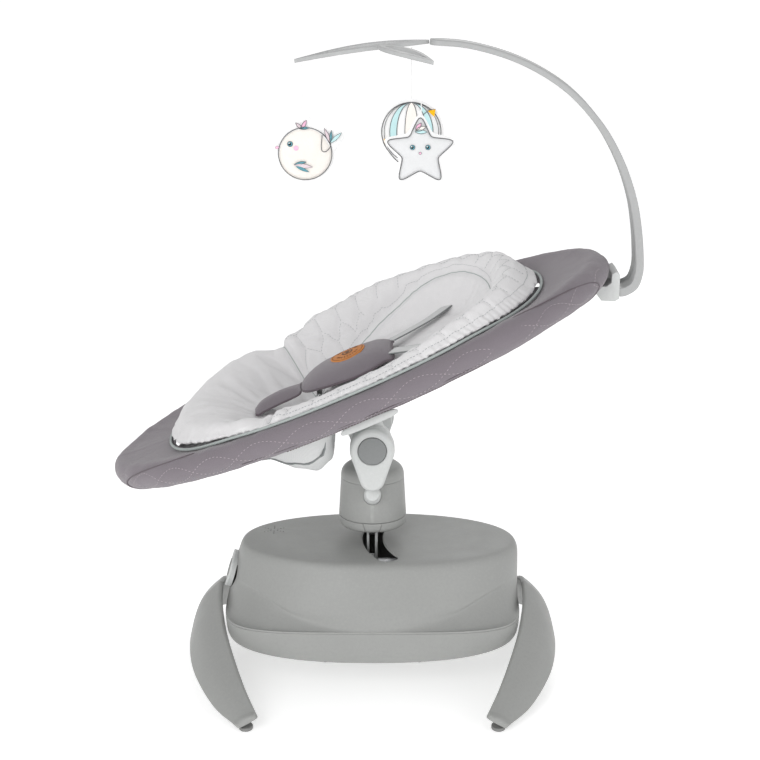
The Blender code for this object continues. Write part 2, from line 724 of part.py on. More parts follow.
def make_arm(word, side):
    """A fork arm: outer and inner halves, button and lock gear."""
    drop = PIVOT_Z - ARM_FOOT_Z
    outline = [(x, z + PIVOT_Z) for x, z in teardrop(DISC_R, ARM_FOOT_R, drop)]
    inner_y, outer_y = side * ARM_INNER_Y, side * ARM_OUTER_Y
    arm = prism(f"fork_arm_{word}", outline, inner_y, outer_y, "XZ", "hub_plastic", SWIVEL_AXIS)
    add_bevel(arm, 0.0045, 2)
    pivot = Vector((0, 0, PIVOT_Z))

    def across(y):
        return pivot + Vector((0, side * y, 0))

    pocket = cylinder(f"button_pocket_{word}", BUTTON_R + 0.0005, across(0.0838), across(0.100),
                      None, sides=28)
    gear_hole = cylinder(f"gear_hole_{word}", LOCK_GEAR_R + 0.0006, across(0.068), across(0.086),
                         None, sides=24)
    cut(arm, pocket, gear_hole)
    cap = cylinder(f"recline_button_{word}", BUTTON_R, across(0.0892), across(0.0970),
                   "button_plastic", SWIVEL_AXIS, sides=28)
    add_bevel(cap, 0.0010, 1)
    stem = cylinder(f"button_stem_{word}", 0.0055, across(0.0600), across(0.0900), None, sides=16)
    join(cap, stem)
    gear = [((LOCK_GEAR_R if k % 2 else LOCK_GEAR_R - 0.0020) * math.cos(math.pi * k / 12),
             (LOCK_GEAR_R if k % 2 else LOCK_GEAR_R - 0.0020) * math.sin(math.pi * k / 12) + PIVOT_Z)
            for k in range(24)]
    lock = prism(f"lock_gear_{word}", gear, side * 0.0722, side * 0.0830, "XZ", "steel",
                 SWIVEL_AXIS)
    cut(lock, cylinder(f"lock_gear_bore_{word}", 0.0058, across(0.065), across(0.090), None,
                       sides=16))


# ---------------------------------------------------------------- seat
def seat_point(s, v, n):
    """A point given from the ring's centre, in the seat's frame."""
    return (RING_U + s, v, RING_H + n)


def make_hub(word, side):
    """The bracket from the recline axis up and out to the seat ring."""
    path = [(0.0580, -0.004), (0.0580, 0.024), (0.0640, 0.0400), (0.0850, 0.0470),
            (0.1300, 0.0530), (0.1700, 0.0640), (0.2010, 0.0705)]
    half_u = [(0, 0.026), (0.30, 0.026), (0.6, 0.030), (1.0, 0.0425)]
    shift_u = [(0, 0), (0.30, 0), (1.0, 0.0275)]
    thick = [(0, 0.0115), (0.2, 0.0110), (0.45, 0.0060), (1.0, 0.0048)]
    sections = []
    count = 9
    for i in range(count + 1):
        t = i / count
        y, h = spline(path, t)
        y1, h1 = spline(path, min(t + 0.02, 1.0))
        y0, h0 = spline(path, max(t - 0.02, 0.0))
        along = Vector((0, y1 - y0, h1 - h0)).normalized()
        across = Vector((0, -along.z, along.y))
        centre = Vector((0, y, h))
        section = []
        for u, w in superellipse(level(half_u, t), level(thick, t), 3.2, 12):
            p = centre + Vector((u + level(shift_u, t), 0, 0)) + across * w
            section.append((p.x, side * p.y, p.z))
        sections.append(section)
    arm = loft(f"seat_hub_{word}", sections, "hub_plastic", RECLINE_AXIS, in_seat=True)
    disc = cylinder(f"hub_disc_{word}", HUB_R, (0, side * 0.0455, 0), (0, side * 0.0714, 0), None,
                    sides=32)
    pocket = cylinder(f"hub_pocket_{word}", LOCK_GEAR_R + 0.0006, (0, side * 0.0650, 0),
                      (0, side * 0.0800, 0), None)
    through = cylinder(f"hub_through_{word}", 0.0065, (0, side * 0.0400, 0),
                       (0, side * 0.0800, 0), None, sides=16)
    for tool in (disc, pocket, through):
        tool.matrix_world = SEAT_MATRIX
    join(arm, disc)
    cut(arm, pocket, through)


RING_STATIONS = 40


def ring_frame(angle, half_length, half_width):
    """A place on the seat's ellipse and its outward direction."""
    place = Vector((half_length * math.cos(angle), half_width * math.sin(angle), 0))
    outward = Vector((half_width * math.cos(angle), half_length * math.sin(angle), 0)).normalized()
    return place, outward


def brim(angle):
    """How far the cover reaches in from the tube: narrow at the sides, wide at both ends."""
    return 0.022 + 0.060 * abs(math.cos(angle)) ** 5


def cover_section(angle):
    """An open sleeve round the tube with a tongue to the inside, slit underneath."""
    place, outward = ring_frame(angle, RING_HALF_LENGTH, RING_HALF_WIDTH)
    reach = brim(angle)
    cavity = TUBE_R + 0.0021
    outer = [(-0.004, -COVER_R)]
    for degrees in (-60, -25, 10, 45, 80):
        a = math.radians(degrees)
        outer.append((COVER_R * math.cos(a), COVER_R * math.sin(a)))
    lift = 0.15 * (reach - 0.022)
    outer += [(-0.014, COVER_R - 0.003), (-reach, 0.0040 + lift), (-reach, -0.0020 + lift),
              (-0.016, -0.0080), (-0.0125, -0.0100)]
    inner = []
    for degrees in (205, 150, 90, 30, -30, -75):
        a = math.radians(degrees)
        inner.append((cavity * math.cos(a), cavity * math.sin(a)))
    section = []
    for r, n in outer + inner:
        p = place + outward * r
        section.append(seat_point(p.x, p.y, n))
    return section


SLING_LEVELS = [(-0.31, -0.014), (-0.25, -0.022), (-0.20, -0.031), (-0.155, -0.052),
                (-0.125, -0.084), (-0.102, -0.098), (-0.080, -0.090), (-0.062, -0.047),
                (-0.045, -0.034), (0.15, -0.034), (0.25, -0.026), (0.31, -0.014)]
SLING_HALF_LENGTH = 0.305
SLING_HALF_WIDTH = 0.186
SLING_THICKNESS = 0.0025
SLING_EDGE = -0.0118


def sling_level(s, v, spread=0.0):
    """Underside of the seat's hanging fabric. spread takes the highest level within that reach."""
    along = min(abs(s) / SLING_HALF_LENGTH, 0.999)
    across = min(abs(v) / (SLING_HALF_WIDTH * math.sqrt(1 - along ** 2)), 1.0)
    hang = max(level(SLING_LEVELS, s + step) for step in (-spread, 0, spread))
    return SLING_EDGE + (hang - SLING_EDGE) * (1 - across ** 4)


def polar_rings(half_length, half_width, power, fractions, sides):
    for fraction in fractions:
        ring = superellipse(half_length * fraction, half_width * fraction, power, sides)
        yield fraction, ring


def dish(name, lower, upper, half_length, half_width, power, fractions, sides, material):
    """A closed soft shape between two height functions of (s, v, rho), which meet at its edge."""
    shape = bmesh.new()
    faces = []
    for heights in (lower, upper):
        centre = shape.verts.new(seat_point(0, 0, heights(0, 0, 0)))
        rows = []
        for fraction, ring in polar_rings(half_length, half_width, power, fractions, sides):
            rows.append([shape.verts.new(seat_point(s, v, heights(s, v, fraction)))
                         for s, v in ring])
        for i in range(sides):
            shape.faces.new((centre, rows[0][i], rows[0][(i + 1) % sides]))
        for first, second in zip(rows, rows[1:]):
            for i in range(sides):
                j = (i + 1) % sides
                shape.faces.new((first[i], first[j], second[j], second[i]))
        faces.append(rows[-1])
    for i in range(sides):
        j = (i + 1) % sides
        shape.faces.new((faces[0][i], faces[0][j], faces[1][j], faces[1][i]))
    return from_bmesh(name, shape, material, RECLINE_AXIS, in_seat=True)


PAD_THICKNESS = 0.030
PAD_RIM = 0.0212
PAD_MIDDLE = [(-0.29, 0.026), (-0.20, 0.012), (-0.15, -0.015), (-0.105, -0.050), (-0.075, -0.031),
              (-0.035, -0.009), (0.15, -0.005), (0.22, 0.005), (0.29, 0.024)]
PAD_CREST = [(-0.29, 0.035), (-0.235, 0.046), (-0.17, 0.053), (-0.125, 0.037), (-0.095, 0.046),
             (-0.04, 0.061), (0.05, 0.067), (0.14, 0.064), (0.24, 0.060), (0.29, 0.045)]
PAD_CREST_NEAR = [(-0.29, 0.033), (-0.235, 0.037), (-0.17, 0.034), (-0.125, 0.029), (-0.04, 0.029),
                  (0.05, 0.031), (0.10, 0.036), (0.16, 0.045), (0.24, 0.052), (0.29, 0.044)]


def smooth(x, low, high):
    f = min(max((x - low) / (high - low), 0.0), 1.0)
    return f * f * (3 - 2 * f)


def pad_upper(s, v, rho):
    """Sunken middle, puffed crest near the edge and flatter on the near side, rolled rim."""
    near = smooth(-v, -0.020, 0.100)
    crest = level(PAD_CREST, s) * (1 - near) + level(PAD_CREST_NEAR, s) * near
    top = level(PAD_MIDDLE, s)
    top += (crest - top) * smooth(rho, 0.62, 0.87)
    return top + (PAD_RIM + 0.007 - top) * smooth(rho, 0.90, 1.0)


def pad_lower(s, v, rho):
    """On the sling in the middle, and over the ring's cover at the rim."""
    rest = sling_level(s, v, 0.022) + SLING_THICKNESS + 0.0012
    under = max(rest, level(PAD_MIDDLE, s) - PAD_THICKNESS)
    return under + (PAD_RIM - under) * smooth(rho, 0.68, 0.87)


def make_seat():
    shape_points = [seat_point(RING_HALF_LENGTH * math.cos(2 * math.pi * i / RING_STATIONS),
                               RING_HALF_WIDTH * math.sin(2 * math.pi * i / RING_STATIONS), 0)
                    for i in range(RING_STATIONS)]
    data = bpy.data.curves.new("seat_ring_tube", "CURVE")
    data.dimensions = "3D"
    data.bevel_depth = TUBE_R
    data.bevel_resolution = 1
    path = data.splines.new("POLY")
    path.points.add(RING_STATIONS - 1)
    for point, place in zip(path.points, shape_points):
        point.co = (*place, 1)
    path.use_cyclic_u = True
    data.materials.append(MATERIALS["steel"])
    tube = bpy.data.objects.new("seat_ring_tube", data)
    PARTS.objects.link(tube)
    tube.parent = RECLINE_AXIS

    sections = [cover_section(2 * math.pi * i / RING_STATIONS) for i in range(RING_STATIONS)]
    loft("seat_cover", sections, "mauve_fabric", RECLINE_AXIS, in_seat=True, ring=True)

    fractions = (0.20, 0.38, 0.52, 0.64, 0.75, 0.85, 0.93, 1.0)
    dish("seat_sling", lambda s, v, rho: sling_level(s, v),
         lambda s, v, rho: sling_level(s, v) + SLING_THICKNESS,
         SLING_HALF_LENGTH, SLING_HALF_WIDTH, 2, fractions, 24, "pad_fabric")
    dish("seat_pad", pad_lower, pad_upper, PAD_HALF_LENGTH, PAD_HALF_WIDTH, 2.25, fractions, 28,
         "pad_fabric")
    cylinder("seat_cross_tube", 0.0120, (0, -0.0452, 0), (0, 0.0452, 0), "steel", RECLINE_AXIS,
             in_seat=True)


def band(name, path, width, thickness, material, stations=14):
    """A flat strap through (s, v, n) points. width is a number or pairs along it."""
    sections = []
    for i in range(stations + 1):
        t = i / stations
        here = Vector(spline(path, t))
        ahead = Vector(spline(path, min(t + 0.02, 1))) - Vector(spline(path, max(t - 0.02, 0)))
        ahead.normalize()
        side = Vector((-ahead.y, ahead.x, 0))
        if side.length < 0.2:
            side = Vector((0, 1, 0))
        side.normalize()
        up = ahead.cross(side)
        half = (level(width, t) if isinstance(width, list) else width) / 2
        section = [here + side * a * half + up * b * thickness / 2
                   for a, b in ((-1, -0.6), (-0.9, -1), (0.9, -1), (1, -0.6), (1, 0.6), (0.9, 1),
                                (-0.9, 1), (-1, 0.6))]
        sections.append([seat_point(*p) for p in section])
    return loft(name, sections, material, RECLINE_AXIS, in_seat=True)


def make_harness():
    band("crotch_strap", [(-0.163, 0, 0.0000), (-0.150, 0, 0.0075), (-0.125, 0, 0.0110),
                          (-0.105, 0, 0.0100), (-0.0915, 0, 0.0070)],
         [(0, 0.040), (1, 0.044)], 0.008, "mauve_fabric", stations=8)
    top = [(-0.088, 0.0, 0.0060), (-0.060, 0.0, 0.0150), (-0.033, 0.0, 0.0180),
           (-0.006, 0.0, 0.0185), (0.021, 0.0, 0.0180), (0.040, 0.0, 0.0155), (0.056, 0.0, 0.0110)]
    band("belly_pad", top, [(0, 0.060), (0.3, 0.112), (0.7, 0.124), (1, 0.090)], 0.013,
         "mauve_fabric", stations=10)
    cylinder("belly_badge", 0.0270, seat_point(-0.006, 0, 0.0256), seat_point(-0.006, 0, 0.0274),
             "tan_leather", RECLINE_AXIS, in_seat=True, sides=24)
    for word, side in (("near", -1), ("far", 1)):
        band(f"waist_strap_{word}",
             [(0.0640, side * 0.036, 0.0100), (0.0900, side * 0.055, 0.0080),
              (0.1180, side * 0.077, 0.0065), (0.1430, side * 0.097, 0.0085)],
             0.020, 0.0030, "pad_fabric", stations=6)


# ---------------------------------------------------------------- toy arch
KNOB_AIM = Vector((-0.8, 0, -0.6))
KNOB_FACE = Vector((0.319, 0, 0.574))
ARCH_PATH = [(SOCKET_FACE_X + 0.0008, ARCH_Z), (0.3600, 0.5785), (0.3720, 0.5865), (0.3778, 0.6030),
             (0.3786, 0.6240), (0.3745, 0.6680), (0.3655, 0.7130), (0.3465, 0.7640),
             (0.3160, 0.8150), (0.2690, 0.8640), (0.2060, 0.9010), (0.1370, 0.9220),
             (0.0800, 0.9270)]


def make_socket():
    profile = [(0.3130, 0.5868), (0.3130, 0.5820), (0.3250, 0.5660), (0.3440, 0.5650),
               (SOCKET_FACE_X, 0.5690), (SOCKET_FACE_X, 0.6030), (0.3460, 0.6080),
               (0.3392, 0.6040), (0.3385, 0.5920), (0.3320, 0.5868)]
    socket = prism("arch_socket", profile, -0.0320, 0.0320, "XZ", "hub_plastic", RECLINE_AXIS,
                   in_seat=True, place=SEAT_MATRIX.inverted())
    pocket = block("tongue_pocket", (0.3322, -0.0254, ARCH_Z - 0.0056),
                   (0.3600, 0.0254, ARCH_Z + 0.0056), None)
    bore = cylinder("knob_bore", 0.0053, KNOB_FACE - KNOB_AIM * 0.0100,
                    KNOB_FACE + KNOB_AIM * 0.0100, None, sides=16)
    cut(socket, pocket, bore)
    knob = cylinder("arch_release_knob", 0.0050, KNOB_FACE - KNOB_AIM * 0.0055,
                    KNOB_FACE + KNOB_AIM * 0.0095, "dark_plastic", RECLINE_AXIS, sides=16)
    knob.data.transform(SEAT_MATRIX.inverted())
    knob.location = (0, 0, 0)
    add_bevel(knob, 0.0018, 3)


def make_arch():
    """A wide flat band that narrows and thins towards its top."""
    frame = SEAT_MATRIX.inverted()
    half_width = [(0, 0.0290), (0.25, 0.0270), (0.6, 0.0200), (1, 0.0150)]
    half_thick = [(0, 0.0065), (0.3, 0.0058), (1, 0.0042)]
    sections = []
    count = 22
    for i in range(count + 1):
        t = i / count
        x, z = spline(ARCH_PATH, t)
        x1, z1 = spline(ARCH_PATH, min(t + 0.01, 1))
        x0, z0 = spline(ARCH_PATH, max(t - 0.01, 0))
        along = Vector((x1 - x0, 0, z1 - z0)).normalized()
        across = Vector((-along.z, 0, along.x))
        sections.append([frame @ (Vector((x, a, z)) + across * b) for a, b in
                         superellipse(level(half_width, t), level(half_thick, t), 3.5, 10)])
    arch = loft("toy_arch", sections, "base_plastic", RECLINE_AXIS, in_seat=True)
    tongue = block("arch_tongue", (TONGUE_START_X, -0.0250, ARCH_Z - 0.0052),
                   (SOCKET_FACE_X + 0.004, 0.0250, ARCH_Z + 0.0052), None)
    join(arch, tongue)

    def leaf(name, root, tip, half, thickness, lift):
        """An almond loop from root to tip: a bowed blade each side of a narrow opening."""
        root, tip = Vector(root), Vector(tip)
        along = (tip - root)
        side = Vector((0, 0, 1)).cross(along).normalized()
        up = along.cross(side).normalized()
        if up.z < 0:
            up = -up
        outline = []
        steps = 12
        for sign in (1, -1):
            for k in range(steps):
                f = k / steps if sign == 1 else 1 - k / steps
                swell = math.sin(math.pi * f ** 0.85)
                outline.append((f, sign * half * swell))
        shape = bmesh.new()
        rows = []
        for inset, height in ((1, -1), (1, 1), (0.52, 1), (0.52, -1)):
            row = []
            for f, w in outline:
                g = f if inset == 1 else 0.5 + (f - 0.5) * 0.74
                place = root + along * g + side * w * inset
                place += up * (height * thickness / 2 + lift * math.sin(math.pi * g))
                row.append(shape.verts.new(frame @ place))
            rows.append(row)
        total = len(outline)
        for a, b in zip(rows, rows[1:] + rows[:1]):
            for i in range(total):
                j = (i + 1) % total
                shape.faces.new((a[i], a[j], b[j], b[i]))
        return from_bmesh(name, shape, "base_plastic", RECLINE_AXIS, in_seat=True)

    leaf("leaf_loop_long", (0.0790, 0.0, 0.9268), (-0.1080, 0.0, 0.9000), 0.0300, 0.0060, 0.0050)
    leaf("leaf_loop_short", (0.0080, -0.0335, 0.9230), (0.0830, -0.0950, 0.9080), 0.0200, 0.0060,
         0.0030)


TOYS = {
    # name: string place x, y, string top, toy top, toy centre x, z
    "bird": (-0.0979, 0.0, 0.8950, 0.8330, -0.0945, 0.7750),
    "balloon": (0.0548, 0.0, 0.9190, 0.8480, 0.0548, 0.8020),
    "star": (0.0667, -0.0880, 0.9020, 0.8370, 0.0655, 0.7880),
}
TOY_HALF_THICKNESS = 0.0055


def toy_outline(kind):
    """A toy's outline about its centre, as a radius for each direction from +X round to +Z."""
    points = []
    steps = 36
    for k in range(steps):
        a = 2 * math.pi * k / steps
        if kind == "bird":
            radius = 0.0430 + 0.0210 * bump(a, math.radians(28), 0.42)
            radius += 0.0150 * bump(a, math.radians(93), 0.30)
        elif kind == "balloon":
            radius = 0.0455 + 0.0205 * bump(a, math.radians(270), 0.50)
        else:
            arm = 0.5 + 0.5 * math.cos(5 * (a - math.pi / 2))
            radius = 0.0290 + 0.0205 * arm ** 1.3
        points.append((radius * math.cos(a), radius * math.sin(a)))
    return points


def bump(angle, middle, width):
    """1 at a direction, falling to 0 a width away."""
    away = abs((angle - middle + math.pi) % (2 * math.pi) - math.pi) / width
    return (1 - away * away) ** 2 if away < 1 else 0.0


def make_toys():
    frame = SEAT_MATRIX.inverted()
    for kind, (x, y, top, toy_top, centre_x, centre_z) in TOYS.items():
        outline = toy_outline(kind)
        high = toy_top - GAP - centre_z
        placed = [(centre_x + a, centre_z + min(b, high)) for a, b in outline]
        look = "star_fabric" if kind == "star" else "toy_fabric"
        toy = prism(f"toy_{kind}", placed, y - TOY_HALF_THICKNESS, y + TOY_HALF_THICKNESS, "XZ",
                    look, RECLINE_AXIS, in_seat=True, place=frame)
        add_bevel(toy, 0.0030, 1)
        string = cylinder(f"string_{kind}", STRING_R, (x, y, toy_top), (x, y, top), "string",
                          RECLINE_AXIS, in_seat=True, sides=8)
        string.data.transform(frame)


make_base()
make_leg("leg_foot_end", -1)
make_leg("leg_head_end", 1)
make_foot_pads()
make_drive()
make_drum()
for arm_word, arm_side in (("near", -1), ("far", 1)):
    make_arm(arm_word, arm_side)
    make_hub(arm_word, arm_side)
make_seat()
make_harness()
make_socket()
make_arch()
make_toys()
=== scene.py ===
"""Looks of the electric baby swing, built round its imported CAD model.

Metres, +Z up, in the CAD model's frame: +X is the head end and -Y the near side. Seat pieces are
laid out as (s, v, n): s along the seat from the ring's centre to the head, v across it and n
square to it.
"""
import json
import math

import bmesh
import bpy
import numpy as np
from mathutils import Matrix, Vector
from mathutils.bvhtree import BVHTree


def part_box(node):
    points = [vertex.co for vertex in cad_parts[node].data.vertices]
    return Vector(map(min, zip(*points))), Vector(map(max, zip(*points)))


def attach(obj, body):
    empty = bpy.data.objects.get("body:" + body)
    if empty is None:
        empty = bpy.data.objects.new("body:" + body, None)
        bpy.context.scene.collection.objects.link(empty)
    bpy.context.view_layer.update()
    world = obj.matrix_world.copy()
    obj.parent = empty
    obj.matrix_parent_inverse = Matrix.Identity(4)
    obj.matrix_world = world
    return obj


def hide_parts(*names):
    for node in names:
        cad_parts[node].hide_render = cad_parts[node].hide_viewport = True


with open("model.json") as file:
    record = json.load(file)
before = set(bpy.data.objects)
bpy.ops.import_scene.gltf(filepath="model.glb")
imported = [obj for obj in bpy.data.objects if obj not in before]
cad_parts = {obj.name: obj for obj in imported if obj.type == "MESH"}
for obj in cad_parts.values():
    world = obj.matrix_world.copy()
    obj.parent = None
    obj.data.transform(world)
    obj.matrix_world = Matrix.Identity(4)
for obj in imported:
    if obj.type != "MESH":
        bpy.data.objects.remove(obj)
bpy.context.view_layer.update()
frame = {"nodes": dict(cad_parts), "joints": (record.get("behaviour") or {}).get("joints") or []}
NODES = frame["nodes"]
JOINTS = {joint["name"]: joint for joint in frame["joints"]}

# Places read from the CAD model
PIVOT = Vector(JOINTS["seat_recline"]["pos_m"])
SWING_X = JOINTS["swing_sweep"]["pos_m"][0]
SEAT_TILT = math.radians(23.8)
RING_U, RING_H = 0.021, 0.097
RING_HALF = (0.369, 0.206)
TUBE_R, COVER_R = 0.010, 0.019
PAD_HALF = (0.291, 0.208)
PAD_POWER = 2.25
PAD_RIM = 0.0212
BASE_TOP_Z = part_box("base_upper_shell")[1].z
BASE_BOTTOM_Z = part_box("base_lower_shell")[0].z
PART_LINE_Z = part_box("base_lower_shell")[1].z
WALL = 0.003
DRUM_BOTTOM_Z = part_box("turntable_ring")[0].z
DRUM_LOWER_SEAM_Z = 0.2355
DRUM_UPPER_SEAM_Z = 0.294
DRUM_TOP_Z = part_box("drum_cap")[1].z
DRUM_LOWER_R, DRUM_UPPER_R = 0.0497, 0.0465
ARM_INNER_Y, ARM_OUTER_Y = 0.0717, 0.0960
ARM_DISC_R, ARM_FOOT_R, ARM_EDGE = 0.032, 0.018, 0.0062
BUTTON_R, GEAR_BORE_R = 0.0203, 0.0134
FOOT_TOP = 0.0026
GAP = 0.0003
SEAT = Matrix.Translation(PIVOT) @ Matrix.Rotation(-SEAT_TILT, 4, "Y")
SEAT_UP = (SEAT.to_3x3() @ Vector((0, 0, 1))).normalized()


# ---------------------------------------------------------------- numbers and curves
HASH_PRIMES = (374761393, 668265263, 1274126177)


def srgb(*values):
    """A screen colour, 0 to 255, as linear light."""
    return tuple(((v / 255 + 0.055) / 1.055) ** 2.4 if v > 10 else v / 255 / 12.92 for v in values)


def spline(points, count, closed=False):
    """A smooth curve through a few points, read at count places."""
    points = np.asarray(points, float)
    total = len(points)
    last = total if closed else total - 1
    place = np.linspace(0, last, count, endpoint=not closed)
    i = np.minimum(place.astype(int), last - 1)
    f = (place - i)[:, None]

    def at(k):
        return points[k % total] if closed else points[np.clip(k, 0, total - 1)]

    a, b, c, d = at(i - 1), at(i), at(i + 1), at(i + 2)
    return 0.5 * (2 * b + (c - a) * f + (2 * a - 5 * b + 4 * c - d) * f ** 2
                  + (3 * b - a - 3 * c + d) * f ** 3)


def smooth(x, low, high):
    f = np.clip((np.asarray(x, float) - low) / (high - low), 0, 1)
    return f * f * (3 - 2 * f)


def level(pairs, x):
    """Smoothly read a height from (position, height) pairs."""
    x = np.asarray(x, float)
    result = np.full(x.shape, float(pairs[0][1]))
    for (x0, y0), (x1, y1) in zip(pairs, pairs[1:]):
        result = np.where(x >= x0, y0 + (y1 - y0) * smooth(x, x0, x1), result)
    return result


def ring_of(radius, sides, centre=(0, 0)):
    turn = np.linspace(0, 2 * math.pi, sides, endpoint=False)
    return np.stack([centre[0] + radius * np.cos(turn), centre[1] + radius * np.sin(turn)], 1)


def superellipse(half_x, half_y, power, sides):
    turn = np.linspace(0, 2 * math.pi, sides, endpoint=False)
    c, s = np.cos(turn), np.sin(turn)
    return np.stack([np.sign(c) * np.abs(c) ** (2 / power) * half_x,
                     np.sign(s) * np.abs(s) ** (2 / power) * half_y], 1)


def fillet(points, radius, steps=4, closed=True):
    """Round every corner of an outline. radius is one number or one for each point."""
    points = np.asarray(points, float)
    count = len(points)
    radii = np.broadcast_to(np.asarray(radius, float), (count,))
    result = []
    for i, (corner, reach) in enumerate(zip(points, radii)):
        if reach <= 0 or (not closed and i in (0, count - 1)):
            result.append(corner)
            continue
        before, after = points[i - 1], points[(i + 1) % count]
        lead, trail = before - corner, after - corner
        cut = min(reach, 0.48 * np.linalg.norm(lead), 0.48 * np.linalg.norm(trail))
        start = corner + lead / np.linalg.norm(lead) * cut
        end = corner + trail / np.linalg.norm(trail) * cut
        for f in np.linspace(0, 1, steps + 1):
            result.append((1 - f) ** 2 * start + 2 * f * (1 - f) * corner + f ** 2 * end)
    return np.array(result)


def lengths(path):
    """Distance along a path at each of its points."""
    steps = np.linalg.norm(np.diff(path, axis=0), axis=1)
    return np.concatenate([[0], np.cumsum(steps)])


def evenly(path, spacing):
    """The same path with points a fixed distance apart."""
    path = np.asarray(path, float)
    along = lengths(path)
    count = max(2, int(along[-1] / spacing) + 1)
    return np.stack([np.interp(np.linspace(0, along[-1], count), along, path[:, k])
                     for k in range(path.shape[1])], 1)


def lattice_noise(points, scale, seed):
    """Smooth value noise, -1 to 1, from hashed lattice corners."""
    p = np.asarray(points, float) * scale + seed * 17.31
    cell = np.floor(p).astype(np.int64)
    f = p - cell
    f = f * f * (3 - 2 * f)
    total = 0.0
    for corner in np.ndindex(*(2,) * p.shape[1]):
        c = cell + np.array(corner)
        key = sum(c[:, k] * prime for k, prime in zip(range(p.shape[1]), HASH_PRIMES))
        key = (key ^ (key >> 13)) * HASH_PRIMES[2] % 2 ** 32
        value = (key ^ (key >> 16)) % 65536 / 32767.5 - 1
        weight = np.prod([f[:, k] if bit else 1 - f[:, k] for k, bit in enumerate(corner)], axis=0)
        total = total + value * weight
    return total


def seat(points):
    """World places of (s, v, n) points."""
    points = np.asarray(points, float)
    local = points + np.array([RING_U, 0, RING_H])
    return local @ np.array(SEAT.to_3x3()).T + np.array(PIVOT)


def from_world(points):
    """(s, v, n) of world points."""
    back = np.array(SEAT.to_3x3())
    return (np.asarray(points, float) - np.array(PIVOT)) @ back - np.array([RING_U, 0, RING_H])


# ---------------------------------------------------------------- meshes
def link(obj):
    bpy.context.scene.collection.objects.link(obj)
    return obj


def to_object(name, shape, sharp=38):
    mesh = bpy.data.meshes.new(name)
    shape.to_mesh(mesh)
    shape.free()
    mesh.shade_smooth()
    mesh.set_sharp_from_angle(angle=math.radians(sharp))
    return link(bpy.data.objects.new(name, mesh))


def from_bmesh(name, shape, sharp=38):
    bmesh.ops.recalc_face_normals(shape, faces=shape.faces[:])
    return to_object(name, shape, sharp)


def skin(name, rows, ring=False, caps=True, loop=True, sharp=38):
    """A skin over rows of points. loop closes each row, ring joins the last row to the first."""
    rows = np.asarray(rows, float)
    shape = bmesh.new()
    grid = [[shape.verts.new(p) for p in row] for row in rows]
    size = len(grid[0])
    pairs = list(zip(grid, grid[1:])) + ([(grid[-1], grid[0])] if ring else [])
    for first, second in pairs:
        for i in range(size if loop else size - 1):
            j = (i + 1) % size
            shape.faces.new((first[i], first[j], second[j], second[i]))
    if caps and not ring and loop:
        shape.faces.new(grid[0])
        shape.faces.new(grid[-1])
    return from_bmesh(name, shape, sharp)


def rod(name, radius, start, end, sides=48, top=None):
    start, end = Vector(start), Vector(end)
    turn = Vector((0, 0, 1)).rotation_difference(end - start).to_matrix().to_4x4()
    shape = bmesh.new()
    bmesh.ops.create_cone(shape, cap_ends=True, segments=sides, radius1=radius,
                          radius2=radius if top is None else top, depth=(end - start).length,
                          matrix=Matrix.Translation((start + end) / 2) @ turn)
    return from_bmesh(name, shape)


def turned(name, profile, centre=(0, 0), sides=96, radius=0.0008):
    """A closed profile of (radius, height), its corners rounded, turned about a vertical axis."""
    profile = fillet(profile, radius)
    turn = np.linspace(0, 2 * math.pi, sides, endpoint=False)
    rows = [[(centre[0] + r * math.cos(a), centre[1] + r * math.sin(a), z) for r, z in profile]
            for a in turn]
    return skin(name, rows, ring=True)


def bake(obj):
    """Apply an object's modifiers."""
    graph = bpy.context.evaluated_depsgraph_get()
    mesh = bpy.data.meshes.new_from_object(obj.evaluated_get(graph))
    old = obj.data
    obj.modifiers.clear()
    obj.data = mesh
    bpy.data.meshes.remove(old)
    return obj


def carve(obj, tool, operation="DIFFERENCE"):
    change = obj.modifiers.new("carve", "BOOLEAN")
    change.operation = operation
    change.object = tool
    change.solver = "EXACT"
    bake(obj)
    bpy.data.objects.remove(tool, do_unlink=True)
    obj.data.shade_smooth()
    obj.data.set_sharp_from_angle(angle=math.radians(38))


def merged(name, objects):
    """Several meshes as one object."""
    shape = bmesh.new()
    for obj in objects:
        shape.from_mesh(obj.data)
        bpy.data.objects.remove(obj, do_unlink=True)
    return to_object(name, shape)


def wires(name, paths, radius, closed=False, resolution=2):
    """Round wires along several paths, as one curve object."""
    curve = bpy.data.curves.new(name, "CURVE")
    curve.dimensions = "3D"
    curve.bevel_depth = radius
    curve.bevel_resolution = resolution
    curve.use_fill_caps = True
    for path in paths:
        line = curve.splines.new("POLY")
        line.points.add(len(path) - 1)
        for point, place in zip(line.points, path):
            point.co = (*place, 1)
        line.use_cyclic_u = closed
    return link(bpy.data.objects.new(name, curve))


def dashes(paths, dash, gap):
    """Short stitches cut from longer paths."""
    result = []
    for path in paths:
        path = np.asarray(path, float)
        along = lengths(path)
        for start in np.arange(gap, along[-1] - dash, dash + gap):
            places = np.linspace(start, start + dash, 3)
            result.append(np.stack([np.interp(places, along, path[:, k]) for k in range(3)], 1))
    return result


